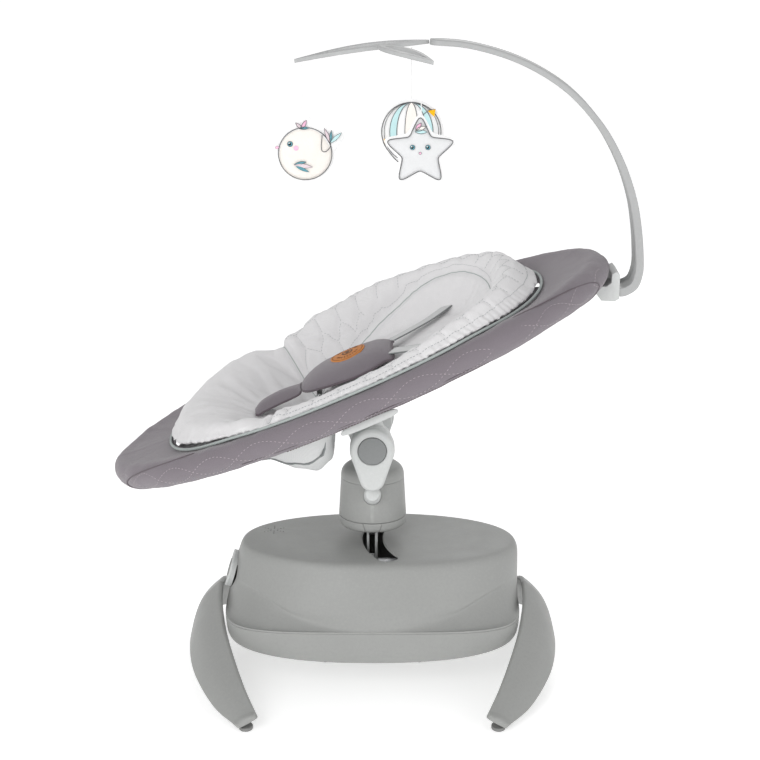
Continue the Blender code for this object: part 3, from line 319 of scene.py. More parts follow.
# ---------------------------------------------------------------- materials
class Look:
    """A material under construction: noise in its colour, roughness and bump."""

    def __init__(self, name, colour, roughness, metallic=0.0, tilt=0.0, **fixed):
        self.material = bpy.data.materials.new(name)
        self.material.use_nodes = True
        self.tree = self.material.node_tree
        self.shader = self.tree.nodes["Principled BSDF"]
        self.shader.inputs["Base Color"].default_value = (*colour, 1)
        self.shader.inputs["Roughness"].default_value = roughness
        self.shader.inputs["Metallic"].default_value = metallic
        for key, value in fixed.items():
            self.shader.inputs[key.replace("_", " ")].default_value = value
        self.material.diffuse_color = (*colour, 1)
        self.base = (*colour, 1)
        self.colour = None
        self.normal = None
        mapping = self.node("ShaderNodeMapping")
        mapping.inputs["Rotation"].default_value = (0, tilt, 0)
        self.link(self.node("ShaderNodeTexCoord").outputs["Object"], mapping.inputs["Vector"])
        self.place = mapping.outputs["Vector"]

    def node(self, kind, **settings):
        node = self.tree.nodes.new(kind)
        for key, value in settings.items():
            setattr(node, key, value)
        return node

    def link(self, output, socket):
        self.tree.links.new(output, socket)

    def noise(self, scale, detail=2.0, stretch=(1, 1, 1), roughness=0.5):
        node = self.node("ShaderNodeTexNoise")
        node.inputs["Scale"].default_value = scale
        node.inputs["Detail"].default_value = detail
        node.inputs["Roughness"].default_value = roughness
        if stretch == (1, 1, 1):
            self.link(self.place, node.inputs["Vector"])
        else:
            scaled = self.node("ShaderNodeMapping")
            scaled.inputs["Scale"].default_value = stretch
            self.link(self.place, scaled.inputs["Vector"])
            self.link(scaled.outputs["Vector"], node.inputs["Vector"])
        return node.outputs["Fac"]

    def cells(self, scale, feature="F1", output="Distance"):
        node = self.node("ShaderNodeTexVoronoi", feature=feature)
        node.inputs["Scale"].default_value = scale
        self.link(self.place, node.inputs["Vector"])
        return node.outputs[output]

    def weave(self, period):
        """Crossing threads: a lattice of sines in the object's own frame, 0 to 1."""
        grown = self.node("ShaderNodeVectorMath", operation="SCALE")
        grown.inputs["Scale"].default_value = 2 * math.pi / period
        self.link(self.place, grown.inputs[0])
        sine = self.node("ShaderNodeVectorMath", operation="SINE")
        cosine = self.node("ShaderNodeVectorMath", operation="COSINE")
        self.link(grown.outputs["Vector"], sine.inputs[0])
        self.link(grown.outputs["Vector"], cosine.inputs[0])
        apart = self.node("ShaderNodeSeparateXYZ")
        together = self.node("ShaderNodeCombineXYZ")
        self.link(cosine.outputs["Vector"], apart.inputs["Vector"])
        for source, target in zip("YZX", "XYZ"):
            self.link(apart.outputs[source], together.inputs[target])
        product = self.node("ShaderNodeVectorMath", operation="DOT_PRODUCT")
        self.link(sine.outputs["Vector"], product.inputs[0])
        self.link(together.outputs["Vector"], product.inputs[1])
        return self.mapped(product.outputs["Value"], -1.5, 1.5, 0, 1)

    def mapped(self, value, low, high, to_low, to_high):
        node = self.node("ShaderNodeMapRange")
        for key, number in zip(("From Min", "From Max", "To Min", "To Max"),
                               (low, high, to_low, to_high)):
            node.inputs[key].default_value = number
        self.link(value, node.inputs["Value"])
        return node.outputs["Result"]

    def tint(self, value, colour, low=0.0, high=1.0, most=1.0):
        """Mix towards a colour as value goes from low to high."""
        node = self.node("ShaderNodeMix", data_type="RGBA")
        self.link(self.mapped(value, low, high, 0, most), node.inputs["Factor"])
        if self.colour:
            self.link(self.colour, node.inputs["A"])
        else:
            node.inputs["A"].default_value = self.base
        node.inputs["B"].default_value = (*colour, 1)
        self.colour = node.outputs["Result"]
        self.link(self.colour, self.shader.inputs["Base Color"])
        return self

    def vary(self, value, amount):
        """Darker and lighter by a share of the base colour."""
        dark = tuple(c * (1 - amount) for c in self.base[:3])
        light = tuple(min(c * (1 + amount), 1) for c in self.base[:3])
        self.tint(value, dark, 0.5, 0.25)
        return self.tint(value, light, 0.5, 0.75)

    def rough(self, value, low, high):
        self.link(self.mapped(value, 0.3, 0.7, low, high), self.shader.inputs["Roughness"])
        return self

    def bump(self, value, depth, strength=1.0):
        node = self.node("ShaderNodeBump")
        node.inputs["Distance"].default_value = depth
        node.inputs["Strength"].default_value = strength
        self.link(value, node.inputs["Height"])
        if self.normal:
            self.link(self.normal, node.inputs["Normal"])
        self.normal = node.outputs["Normal"]
        self.link(self.normal, self.shader.inputs["Normal"])
        return self

    def painted_edge_highlight(self, colour, low=0.54, high=0.62, most=0.5):
        """Painted highlight: convex edges lightened towards a paler colour, broken up by noise."""
        edge = self.node("ShaderNodeNewGeometry").outputs["Pointiness"]
        patch = self.noise(60, 3)
        mixed = self.node("ShaderNodeMath", operation="MULTIPLY")
        self.link(self.mapped(edge, low, high, 0, 1), mixed.inputs[0])
        self.link(self.mapped(patch, 0.35, 0.65, 0.2, 1), mixed.inputs[1])
        return self.tint(mixed.outputs["Value"], colour, 0, 1, most)


def plastic(name, colour, roughness=0.46, light=None):
    """Moulded plastic with a fine eroded grain."""
    look = Look(name, colour, roughness, IOR=1.49)
    look.vary(look.noise(7, 2), 0.035)
    look.vary(look.noise(260, 2), 0.03)
    look.rough(look.noise(35, 3), roughness - 0.05, roughness + 0.07)
    look.bump(look.noise(1500, 2), 0.00006)
    look.bump(look.noise(420, 1), 0.00004)
    # painted highlight: convex edges lightened towards the paler colour
    look.painted_edge_highlight(light or tuple(min(c * 1.45, 1) for c in colour))
    return look.material


def metal(name, colour, roughness=0.3, stretch=(1, 1, 14)):
    look = Look(name, colour, roughness, 1.0)
    grain = look.noise(220, 3, stretch)
    look.vary(grain, 0.10)
    look.rough(look.noise(90, 4, stretch), roughness - 0.08, roughness + 0.14)
    look.bump(grain, 0.00005)
    # painted highlight: convex edges lightened
    look.painted_edge_highlight(tuple(min(c * 1.3, 1) for c in colour))
    return look.material


def cloth(name, colour, period=0.0011, fuzz=0.3, depth=0.00022, mottle=0.05):
    """Woven fabric laid along the seat: threads, heather, soft shading and a fuzzy sheen."""
    look = Look(name, colour, 0.88, tilt=SEAT_TILT, Sheen_Weight=fuzz, Sheen_Roughness=0.45,
                Specular_IOR_Level=0.25)
    threads = look.weave(period)
    look.vary(look.noise(9, 3), mottle * 0.7)
    look.vary(look.noise(850, 2, roughness=0.7), mottle)
    look.tint(threads, tuple(c * 0.86 for c in colour), 0.45, 0.0, 0.7)
    look.rough(look.noise(300, 2), 0.82, 0.95)
    look.bump(threads, depth)
    look.bump(look.noise(1300, 2), 0.00012)
    look.bump(look.noise(55, 3), 0.0009, 0.5)
    return look.material


def leather(name, colour):
    look = Look(name, colour, 0.55, tilt=SEAT_TILT, Specular_IOR_Level=0.35)
    grain = look.cells(900, "DISTANCE_TO_EDGE")
    look.vary(look.noise(45, 4), 0.16)
    look.vary(look.noise(500, 2), 0.07)
    look.tint(grain, tuple(c * 0.6 for c in colour), 0.10, 0.0, 0.7)
    look.rough(look.noise(120, 3), 0.45, 0.68)
    look.bump(look.mapped(grain, 0, 0.12, 0, 1), 0.00012)
    # painted highlight: convex edges lightened
    look.painted_edge_highlight(tuple(min(c * 1.4, 1) for c in colour))
    return look.material


def felt(name, colour, mottle=0.04):
    """Printed cotton with a faint weave."""
    look = Look(name, colour, 0.9, tilt=SEAT_TILT, Sheen_Weight=0.15, Specular_IOR_Level=0.2)
    threads = look.weave(0.0008)
    look.vary(look.noise(60, 3), mottle)
    look.vary(look.noise(1000, 2), mottle)
    look.rough(look.noise(200, 2), 0.84, 0.96)
    look.bump(threads, 0.00010)
    look.bump(look.noise(140, 3), 0.0003, 0.6)
    return look.material


def rubber(name, colour):
    look = Look(name, colour, 0.85, Specular_IOR_Level=0.3)
    look.vary(look.noise(80, 3), 0.12)
    look.rough(look.noise(60, 3), 0.75, 0.92)
    look.bump(look.noise(1100, 3), 0.00012)
    # painted highlight: convex edges lightened
    look.painted_edge_highlight(tuple(c * 1.8 for c in colour))
    return look.material


def board(name, colour):
    look = Look(name, colour, 0.4, IOR=1.5)
    tracks = look.cells(160, "DISTANCE_TO_EDGE")
    look.tint(tracks, tuple(min(c * 2.2, 1) for c in colour), 0.08, 0.03, 0.7)
    look.vary(look.noise(25, 3), 0.1)
    look.rough(look.noise(90, 2), 0.35, 0.5)
    look.bump(look.mapped(tracks, 0.03, 0.08, 1, 0), 0.00008)
    return look.material


GREY = srgb(150, 151, 149)
PALE = srgb(196, 198, 197)
MAUVE = srgb(128, 121, 127)
PAD = srgb(230, 229, 230)
MATERIALS = {
    "base": plastic("base_moulded_grey", GREY),
    "leg": plastic("leg_moulded_grey", srgb(149, 150, 148)),
    "hub": plastic("hub_moulded_pale", PALE, 0.40),
    "arch": plastic("arch_moulded_grey", srgb(168, 169, 169), 0.40),
    "button": plastic("button_moulded_grey", srgb(128, 130, 130), 0.50),
    "panel": plastic("panel_satin_pale", srgb(178, 180, 179), 0.42),
    # the last colour is the painted edge highlight of the dark plastic
    "dark": plastic("dark_moulded", srgb(46, 46, 47), 0.50, srgb(92, 92, 93)),
    "knob": plastic("knob_moulded_dark", srgb(80, 78, 79), 0.48),
    "gear": plastic("gear_moulded_cream", srgb(226, 222, 208), 0.42),
    "rubber": rubber("foot_rubber", srgb(128, 128, 127)),
    "steel": metal("steel_drawn", (0.56, 0.57, 0.58)),
    "brass": metal("brass_cut", (0.66, 0.50, 0.24), 0.32),
    "board": board("board_green", srgb(36, 104, 66)),
    "mauve": cloth("mauve_woven", MAUVE, fuzz=0.35),
    "mauve_trim": cloth("mauve_piping", srgb(104, 95, 101), 0.0008, 0.25),
    "pad": cloth("pad_woven_pale", PAD, 0.0010, 0.25, 0.00016, 0.025),
    "pad_trim": cloth("pad_piping_grey", srgb(172, 180, 178), 0.0008, 0.2, 0.00016, 0.05),
    "strap": cloth("strap_webbing_pale", srgb(212, 213, 213), 0.0014, 0.15, 0.0003, 0.05),
    "strap_trim": cloth("strap_edge_grey", srgb(130, 134, 134), 0.0008, 0.15),
    "thread_pale": felt("thread_pale", srgb(206, 198, 200)),
    "thread_grey": felt("thread_grey", srgb(158, 162, 164)),
    "thread_mauve": felt("thread_mauve", srgb(88, 76, 76)),
    "leather": leather("badge_leather", srgb(206, 132, 66)),
    "leather_print": leather("badge_print", srgb(82, 58, 40)),
    "halo": felt("toy_cotton_white", srgb(247, 247, 247)),
    "cream": felt("toy_cotton_cream", srgb(241, 236, 230)),
    "star_grey": felt("toy_cotton_grey", srgb(219, 220, 221)),
    "outline": felt("toy_print_grey", srgb(92, 92, 94)),
    "aqua": felt("toy_print_aqua", srgb(193, 226, 228)),
    "teal": felt("toy_print_teal", srgb(98, 154, 166)),
    "blush": felt("toy_print_blush", srgb(244, 190, 216)),
    "petal": felt("toy_print_petal", srgb(222, 206, 212)),
    "amber": felt("toy_print_amber", srgb(246, 186, 28)),
    "ink": felt("toy_print_ink", srgb(38, 38, 42)),
    "string": felt("string_white", srgb(236, 236, 236)),
    "led": plastic("led_dark", srgb(84, 60, 60), 0.35),
}


def register(obj, body, look, slot, *nodes):
    """Give a piece its material and body, and hide the CAD nodes that it stands for. slot is not
    used.
    """
    obj.data.materials.clear()
    obj.data.materials.append(MATERIALS[look])
    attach(obj, body)
    if nodes:
        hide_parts(*nodes)
    return obj


def seat_line(name, paths, radius, look, slot, **options):
    """Piping, a seam or another line on the seat."""
    register(wires(name, paths, radius, **options), "seat", look, slot)


def stitches(name, paths, dash, gap, radius, look, slot):
    """Sewn stitches along paths on the seat."""
    seat_line(name, dashes(paths, dash, gap), radius, look, slot, resolution=0)


# ---------------------------------------------------------------- strings and toys
TOYS = {
    # name: string place x, y, string top, toy top, toy centre x, z
    "bird": (-0.0979, 0.0, 0.8950, 0.8330, -0.0945, 0.7750),
    "balloon": (0.0548, 0.0, 0.9190, 0.8480, 0.0548, 0.8020),
    "star": (0.0667, -0.0880, 0.9020, 0.8370, 0.0655, 0.7880),
}
TOY_SLOT = {"bird": "toy_fabric", "balloon": "toy_fabric", "star": "star_fabric"}
STRING_R = 0.0007
TOY_HALF = 0.0055
PRINT_THICKNESS, PRINT_STEP = 0.0004, 0.00018
LINE_R, FINE_LINE_R = 0.00060, 0.00035
# name, material, root, tip and half width of each printed leaf, from the toy's centre
BIRD_WING = [("wing_upper", "teal", (-0.015, -0.0185), (0.002, -0.0145), 0.0022),
             ("wing_middle", "petal", (-0.015, -0.0190), (0.011, -0.0220), 0.0030),
             ("wing_lower", "teal", (-0.013, -0.0205), (0.006, -0.0290), 0.0020)]
BIRD_LEAVES = [("crest_left", "petal", (-0.0040, 0.0320), (-0.0125, 0.0405), 0.0022),
               ("crest_right", "blush", (-0.0040, 0.0320), (0.0030, 0.0440), 0.0024),
               ("crest_low", "teal", (-0.0080, 0.0325), (0.0070, 0.0330), 0.0018),
               ("tail_left", "petal", (0.0360, 0.0120), (0.0275, 0.0330), 0.0023),
               ("tail_middle", "teal", (0.0360, 0.0120), (0.0375, 0.0300), 0.0017),
               ("tail_right", "aqua", (0.0360, 0.0120), (0.0520, 0.0265), 0.0024),
               ("beak", "blush", (-0.0360, 0.0060), (-0.0415, 0.0052), 0.0018)]
BIRD_TAIL_LINE = [(0.0245, 0.0235), (0.0235, 0.0030), (0.0290, -0.0005), (0.0355, 0.0060),
                  (0.0362, 0.0120)]
STAR_TIP = [("tip_blush", "blush", (-0.0065, 0.0300), (0.0015, 0.0400), 0.0026),
            ("tip_cream", "cream", (-0.0070, 0.0290), (0.0080, 0.0350), 0.0028),
            ("tip_aqua", "aqua", (-0.0075, 0.0280), (0.0100, 0.0275), 0.0026)]
BALLOON_R = 0.0415
BALLOON_SEAMS = (-0.93, -0.74, -0.50, -0.22, 0.22, 0.50, 0.74, 0.93)
BALLOON_STRIPES = (None, "aqua", None, "cream", None, "aqua", None)
BALLOON_BASKET = [(-0.009, -0.050), (0.009, -0.050), (0.007, -0.0605), (-0.007, -0.0605)]
BALLOON_FLAG = [(0.0225, 0.0300), (0.0335, 0.0320), (0.0320, 0.0215)]
BALLOON_LOW_FLAG = [(-0.0385, -0.0090), (-0.0270, -0.0110), (-0.0370, -0.0160)]
BALLOON_BUNTING = [(0.0165, 0.0245), (0.0250, 0.0310), (0.0345, 0.0325)]


def make_strings():
    for kind, (x, y, top, toy_top, *_) in TOYS.items():
        path = [(x, y, top - (top - toy_top) * k / 16) for k in range(17)]
        string = wires(f"{kind}_string", [path], STRING_R, resolution=3)
        register(string, kind, "string", "string", f"string_{kind}")


def puffed(name, outline, centre, front, back, crown, rim=0.0012):
    """A flat stuffed shape in the XZ plane: an outline round its centre, crowned on both faces."""
    faces = []
    for face, sign in ((front, -1), (back, 1)):
        rows = []
        for scale in (0.04, 0.3, 0.55, 0.75, 0.88, 0.96, 1.0):
            swell = crown * math.sqrt(max(1 - scale ** 4, 0)) - rim * scale ** 8
            y = face + sign * (swell - crown)
            rows.append([(centre[0] + a * scale, y, centre[1] + b * scale) for a, b in outline])
        faces.append(rows)
    return skin(name, faces[0] + faces[1][::-1])


def polar(radius, count=120):
    """An outline from its distance in every direction."""
    turn = np.linspace(0, 2 * math.pi, count, endpoint=False)
    r = radius(turn)
    return np.stack([r * np.cos(turn), r * np.sin(turn)], 1)


def away(turn, middle, width):
    """1 at a direction, falling to 0 a width away."""
    off = np.abs((turn - middle + math.pi) % (2 * math.pi) - math.pi) / width
    return np.where(off < 1, (1 - off ** 2) ** 2, 0)


def leaf_outline(root, tip, half, count=10):
    """A leaf from root to tip."""
    root, tip = np.array(root, float), np.array(tip, float)
    side = np.array([-(tip - root)[1], (tip - root)[0]])
    side /= np.linalg.norm(side)
    f = np.linspace(0, 1, count)
    swell = np.sin(math.pi * f ** 0.9)[:, None] * half
    there = root + (tip - root) * f[:, None]
    return np.concatenate([there + side * swell, (there - side * swell)[::-1][1:-1]])


def star_radius(turn, outer, inner):
    """Distance to the edge of a five-pointed star with straight sides."""
    step = math.pi / 5
    fold = np.abs((turn - math.pi / 2 + step) % (2 * step) - step)
    edge_x, edge_y = inner * math.cos(step) - outer, inner * math.sin(step)
    return outer * edge_y / (np.cos(fold) * edge_y - np.sin(fold) * edge_x)


def soften(outline, times, share=0.25):
    """Round an outline by averaging neighbours."""
    for _ in range(times):
        beside = np.roll(outline, 1, 0) + np.roll(outline, -1, 0)
        outline = outline * (1 - 2 * share) + share * beside
    return outline


def outlined(kind, name, outline, y, radius, closed=True):
    """A printed line standing a hair proud of a toy's face."""
    line = wires(f"{kind}_{name}", [[(a, y, b) for a, b in outline]], radius, closed)
    register(line, kind, "outline", TOY_SLOT[kind])


def printed(kind, shapes, y):
    """Thin printed shapes on a toy's face: name, material and outline, each over the one before."""
    for order, (name, look, outline) in enumerate(shapes):
        low = y - PRINT_STEP * order
        rows = [[(a, depth, b) for a, b in outline] for depth in (low, low - PRINT_THICKNESS)]
        register(skin(f"{kind}_{name}", rows), kind, look, TOY_SLOT[kind])


def leaf_shapes(middle, table):
    return [(name, look, leaf_outline(middle + np.array(root), middle + np.array(tip), half))
            for name, look, root, tip, half in table]


def leaf_lines(kind, word, shapes, y):
    for order, (_, _, outline) in enumerate(shapes):
        outlined(kind, f"{word}_line_{order}", outline, y, FINE_LINE_R)


def eye(cx, cz, size):
    """A plain round eye: outline dot, iris and a small glint."""
    return [("ring", "outline", ring_of(size, 28, (cx, cz))),
            ("iris", "teal", ring_of(size * 0.84, 28, (cx, cz))),
            ("pupil", "ink", ring_of(size * 0.52, 24, (cx - size * 0.1, cz))),
            ("glint", "halo", ring_of(size * 0.2, 16, (cx - size * 0.3, cz + size * 0.3)))]


def toy_body(kind, word, look, halo, softness, shape, shift=(0, 0)):
    """White backing, stuffed body and the line round it. Gives the toy's centre and front."""
    _, y, _, toy_top, cx, cz = TOYS[kind]
    front = y - TOY_HALF
    halo[:, 1] = np.minimum(halo[:, 1], toy_top - 0.0003 - cz)
    backing = puffed(f"{kind}_backing", soften(halo, softness), (cx, cz), front + 0.0022,
                     y + TOY_HALF - 0.0022, 0.0022)
    register(backing, kind, "halo", TOY_SLOT[kind], f"toy_{kind}")
    middle = np.array([cx, cz]) + shift
    body = puffed(f"{kind}_{word}", shape, middle, front + 0.0006, y + 0.0010, 0.0020)
    register(body, kind, look, TOY_SLOT[kind])
    outlined(kind, "outline", shape + middle, front + 0.0012, LINE_R)
    return np.array([cx, cz]), front


def make_bird():
    tail, tab, beak = (math.radians(degrees) for degrees in (28, 93, 175))
    halo = polar(lambda t: 0.0430 + 0.0215 * away(t, tail, 0.50) + 0.0155 * away(t, tab, 0.34)
                 + 0.0045 * away(t, beak, 0.35))
    shape = superellipse(0.0368 * 1.02, 0.0368, 2, 120)
    middle, front = toy_body("bird", "body", "cream", halo, 4, shape, (0.0005, -0.0035))
    cx, cz = middle
    face = front - 0.0003
    wing = leaf_shapes(middle, BIRD_WING)
    cheek = ("cheek", "blush", ring_of(0.0034, 28, (cx - 0.0122, cz + 0.0045)))
    printed("bird", [cheek, *eye(cx - 0.0205, cz + 0.0105, 0.0040), *wing], face)
    leaf_lines("bird", "wing", wing, face - 0.0012)
    leaves = leaf_shapes(middle, BIRD_LEAVES)
    printed("bird", leaves, front + 0.0001)
    leaf_lines("bird", "leaf", leaves, front - 0.0010)
    outlined("bird", "tail_line", spline(BIRD_TAIL_LINE, 30) + middle, front - 0.0002, 0.00050,
             False)


def make_balloon():
    down = math.radians(270)
    halo = polar(lambda t: 0.0458 + 0.0205 * away(t, down, 0.50))
    shape = polar(lambda t: BALLOON_R * (1 + 0.16 * away(t, down, 0.9)))
    middle, front = toy_body("balloon", "envelope", "halo", halo, 3, shape)
    face = front - 0.0003
    rise = np.linspace(-0.92, 0.985, 26)
    width = np.sqrt(1 - rise ** 2) * 0.985
    seams = [middle + BALLOON_R * np.stack([place * width, rise], 1) for place in BALLOON_SEAMS]
    for order, (left, right, look) in enumerate(zip(seams, seams[1:], BALLOON_STRIPES)):
        if look:
            stripe = np.concatenate([left, right[::-1]])
            printed("balloon", [(f"stripe_{order}", look, stripe)], face)
    for order, seam in enumerate(seams):
        outlined("balloon", f"seam_{order}", seam, face - 0.0005, 0.00045, False)
    basket = fillet(middle + BALLOON_BASKET, 0.002)
    printed("balloon", [("basket", "petal", basket),
                        ("flag", "amber", fillet(middle + BALLOON_FLAG, 0.001)),
                        ("flag_low", "amber", fillet(middle + BALLOON_LOW_FLAG, 0.001))],
            face - 0.0006)
    outlined("balloon", "basket_line", basket, face - 0.0012, 0.0004)
    bunting = spline(middle + BALLOON_BUNTING, 14)
    outlined("balloon", "bunting", bunting, face - 0.0012, 0.0004, False)


def make_star():
    halo = soften(polar(lambda t: star_radius(t, 0.0585, 0.0300), 160), 14)
    shape = soften(polar(lambda t: star_radius(t, 0.0530, 0.0250), 160), 10)
    middle, front = toy_body("star", "body", "star_grey", halo, 0, shape)
    cx, cz = middle
    face = front - 0.0003
    for word, side in (("left", -1), ("right", 1)):
        shapes = eye(cx + side * 0.0105, cz + 0.0065, 0.0036)
        printed("star", [(f"{word}_{name}", *rest) for name, *rest in shapes], face)
    tip = leaf_shapes(middle, STAR_TIP)
    printed("star", tip, face)
    leaf_lines("star", "tip", tip, face - 0.0010)
    smile = ring_of(0.0016, 20, (cx, cz - 0.0015))
    printed("star", [("mouth", "blush", smile)], face)
    outlined("star", "mouth_line", smile, face - 0.0003, 0.0003)


# ---------------------------------------------------------------- floor base
DOME = [
    # height, centre x, half length, half depth
    (0.1000, 0.0000, 0.2160, 0.1415),
    (0.1300, 0.0018, 0.2142, 0.1360),
    (0.1550, 0.0052, 0.2108, 0.1275),
    (0.1800, 0.0085, 0.2070, 0.1180),
    (0.1905, 0.0088, 0.2035, 0.1130),
    (0.1953, 0.0075, 0.1985, 0.1075),
    (BASE_TOP_Z, 0.0045, 0.1895, 0.0990),
]
DOME_POWER = 2.12
SKIRT = (0.0, 0.2170, 0.1420)
SKIRT_POWER = 4.6
SKIRT_LIP_Z = 0.1050
SHELF_LIFT = 0.006
SHELF_RISE = 0.030
LOWER = [
    # height, half length, half depth, squareness
    (PART_LINE_Z, 0.2170, 0.1420, 4.6),
    (0.0760, 0.2160, 0.1415, 4.5),
    (0.0600, 0.2140, 0.1390, 4.2),
    (0.0540, 0.2100, 0.1350, 4.0),
    (BASE_BOTTOM_Z, 0.2000, 0.1250, 3.8),
]
BOTTOM_RISE = 0.018
GRILLE = (-0.148, 0.030)
GRILLE_RINGS = (0.0060, 0.0110, 0.0160)
BASE_SIDES = 200
SLOT_ANGLE = math.radians(29)
SLOT_HALF = 0.015
FIT = 0.0004


def oval_points(turn, centre_x, half_x, half_y, power):
    """Points of a squared oval, in the directions that turn has on the skirt's ellipse."""
    x, y = SKIRT[1] * np.cos(turn), SKIRT[2] * np.sin(turn)
    size = (np.abs(x / half_x) ** power + np.abs(y / half_y) ** power) ** (1 / power)
    return centre_x + x / size, y / size


def dome_at(height):
    heights = [d[0] for d in DOME]
    return [np.interp(height, heights, [d[k] for d in DOME]) for k in (1, 2, 3)]


def refine(rows, steps):
    """Smooth rows in between coarse ones."""
    count = (len(rows) - 1) * steps + 1
    return spline(rows.reshape(len(rows), -1), count).reshape(-1, *rows.shape[1:])


def upper_rows():
    turn = np.linspace(0, 2 * math.pi, BASE_SIDES, endpoint=False)
    skirt = np.stack(oval_points(turn, *SKIRT, SKIRT_POWER), 1)
    foot = np.stack(oval_points(turn, *dome_at(0.112), DOME_POWER), 1)
    crease = SKIRT_LIP_Z + SHELF_LIFT + SHELF_RISE * np.abs(skirt[:, 0] / SKIRT[1]) ** 2.5
    lip = [np.column_stack([skirt * 0.9965, np.full(BASE_SIDES, PART_LINE_Z + 0.0003)]),
           np.column_stack([skirt, np.full(BASE_SIDES, PART_LINE_Z + 0.0011)])]
    rows = [np.column_stack([skirt, np.full(BASE_SIDES, SKIRT_LIP_Z)])]
    middle = 0.62 * skirt + 0.38 * foot
    rows.append(np.column_stack([middle, SKIRT_LIP_Z + 0.12 * (crease - SKIRT_LIP_Z)]))
    rows.append(np.column_stack([*oval_points(turn, *dome_at(crease), DOME_POWER), crease]))
    for k, (height, *_) in enumerate(DOME[1:]):
        h = np.maximum(height, crease + 0.008 * (k + 1)) if k < 2 else np.full(BASE_SIDES, height)
        rows.append(np.column_stack([*oval_points(turn, *dome_at(h), DOME_POWER), h]))
    return np.concatenate([lip, refine(np.array(rows), 6)])


def lower_rows():
    turn = np.linspace(0, 2 * math.pi, BASE_SIDES, endpoint=False)
    rows = []
    for height, half_x, half_y, power in LOWER:
        share = (PART_LINE_Z - height) / (PART_LINE_Z - BASE_BOTTOM_Z)
        x, y = oval_points(turn, 0, half_x, half_y, power)
        rows.append(np.column_stack([x, y, height + share * BOTTOM_RISE * (x / SKIRT[1]) ** 2]))
    rows = refine(np.array(rows), 6)
    lip = rows[0].copy()
    lip[:, :2] *= 0.9965
    rows[0][:, 2] -= 0.0008
    return np.concatenate([[lip], rows])


def shell(name, outer, closing):
    """A thin shell from rows of points, open at the first row and closed past the last."""
    last = len(outer) - 1
    layers = []
    for inset in (0, 1):
        rows = []
        for i, row in enumerate(outer):
            drop = inset * closing * WALL * (i / last) ** 2
            scale = np.array([1 - inset * WALL * 1.2 / 0.215,
                              1 - inset * WALL * (1.25 if 0 < i < last else 1.0) / 0.142, 1])
            rows.append(row * scale - np.array([0, 0, drop]))
        centre = rows[-1].mean(axis=0)
        if closing < 0:
            centre[2] = BASE_BOTTOM_Z - inset * closing * WALL
        for share in (0.8, 0.55, 0.3, 0.06):
            rows.append(centre + (rows[last] - centre) * share)
        layers.append(rows)
    return skin(name, layers[0][::-1] + layers[1], caps=True)


def slot_outline(grow):
    """The arc slot, as points round its edge."""
    half = SLOT_HALF + grow
    points = []
    for side in (1, -1):
        end = math.pi + side * SLOT_ANGLE
        radius = SWING_X + side * half
        points += [(SWING_X + radius * math.cos(a), radius * math.sin(a))
                   for a in np.linspace(2 * math.pi - end, end, 40)]
        centre = (SWING_X + SWING_X * math.cos(end), SWING_X * math.sin(end))
        turns = np.linspace(0, math.pi, 14)[1:-1] + (end if side > 0 else end - math.pi)
        points += [(centre[0] + half * math.cos(a), centre[1] + half * math.sin(a)) for a in turns]
    return points


PANEL_TILT = math.radians(16)
PANEL_PLACE = (Matrix.Translation((-0.2088, 0, 0.1480)) @ Matrix.Rotation(math.pi, 4, "Z")
               @ Matrix.Rotation(math.radians(90) - PANEL_TILT, 4, "Y"))
PANEL_HALF = (0.0265, 0.034)
DIAL_R = 0.0135
POWER_R, POWER_Y = 0.0045, 0.0240
# side, reach up the panel, reach across it and shift of each arc of lights
PANEL_LIGHTS = [(-1, 0.019475, 0.0200, 0), (1, 0.0215, 0.0185, -0.0005)]


def on_panel(points):
    return [tuple(PANEL_PLACE @ Vector(p)) for p in points]


def panel_disc(name, outline, layers):
    """Scaled copies of an outline at heights above the panel, skinned."""
    outline = np.asarray(outline, float)
    centre = outline.mean(axis=0)
    return skin(name, [on_panel([(*(centre + (p - centre) * scale), height) for p in outline])
                       for scale, height in layers])


def panel_tool(outline, heights):
    """A cutter that stands on the panel's face."""
    return skin("panel_tool", [on_panel([(a, b, h) for a, b in outline]) for h in heights])


def make_base():
    upper = shell("base_top_cover", upper_rows(), 1)
    slot_layers = ((0, 0.17), (0, 0.1952), (0.0016, 0.1972), (0.0016, 0.21))
    carve(upper, skin("slot_tool", [[(x, y, z) for x, y in slot_outline(grow)]
                                    for grow, z in slot_layers]))
    window = superellipse(PANEL_HALF[0] + FIT, PANEL_HALF[1] + FIT, 2, 96)
    carve(upper, panel_tool(window, (-0.014, 0.014)))
    holes = []
    for ray in range(6):
        a = math.radians(60 * ray + 30)
        for ring in GRILLE_RINGS:
            x, y = GRILLE[0] + ring * math.cos(a), GRILLE[1] + ring * math.sin(a)
            holes.append(rod("hole", 0.0013, (x, y, 0.186), (x, y, 0.202), 12))
    carve(upper, merged("grille_tool", holes))
    register(upper, "base", "base", "base_grey", "base_upper_shell")

    lower = shell("base_bottom_cover", lower_rows(), -1)
    bosses = [rod("boss", 0.0052, (x, y, 0.0500), (x, y, 0.0560), 32, 0.0062)
              for x in (-0.068, 0.068) for y in (-0.118, 0.118)]
    register(merged("base_screw_bosses", bosses), "base", "dark", "dark_plastic")
    low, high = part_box("dc_inlet")
    middle, half = (low + high) / 2, (high - low) / 2
    socket = [(middle.x + a, middle.z + b)
              for a, b in superellipse(half.x + FIT, half.z + FIT, 5, 48)]
    carve(lower, skin("inlet_tool", [[(a, y, b) for a, b in socket]
                                     for y in (high.y - 0.016, high.y + 0.01)]))
    register(lower, "base", "base", "base_grey", "base_lower_shell")


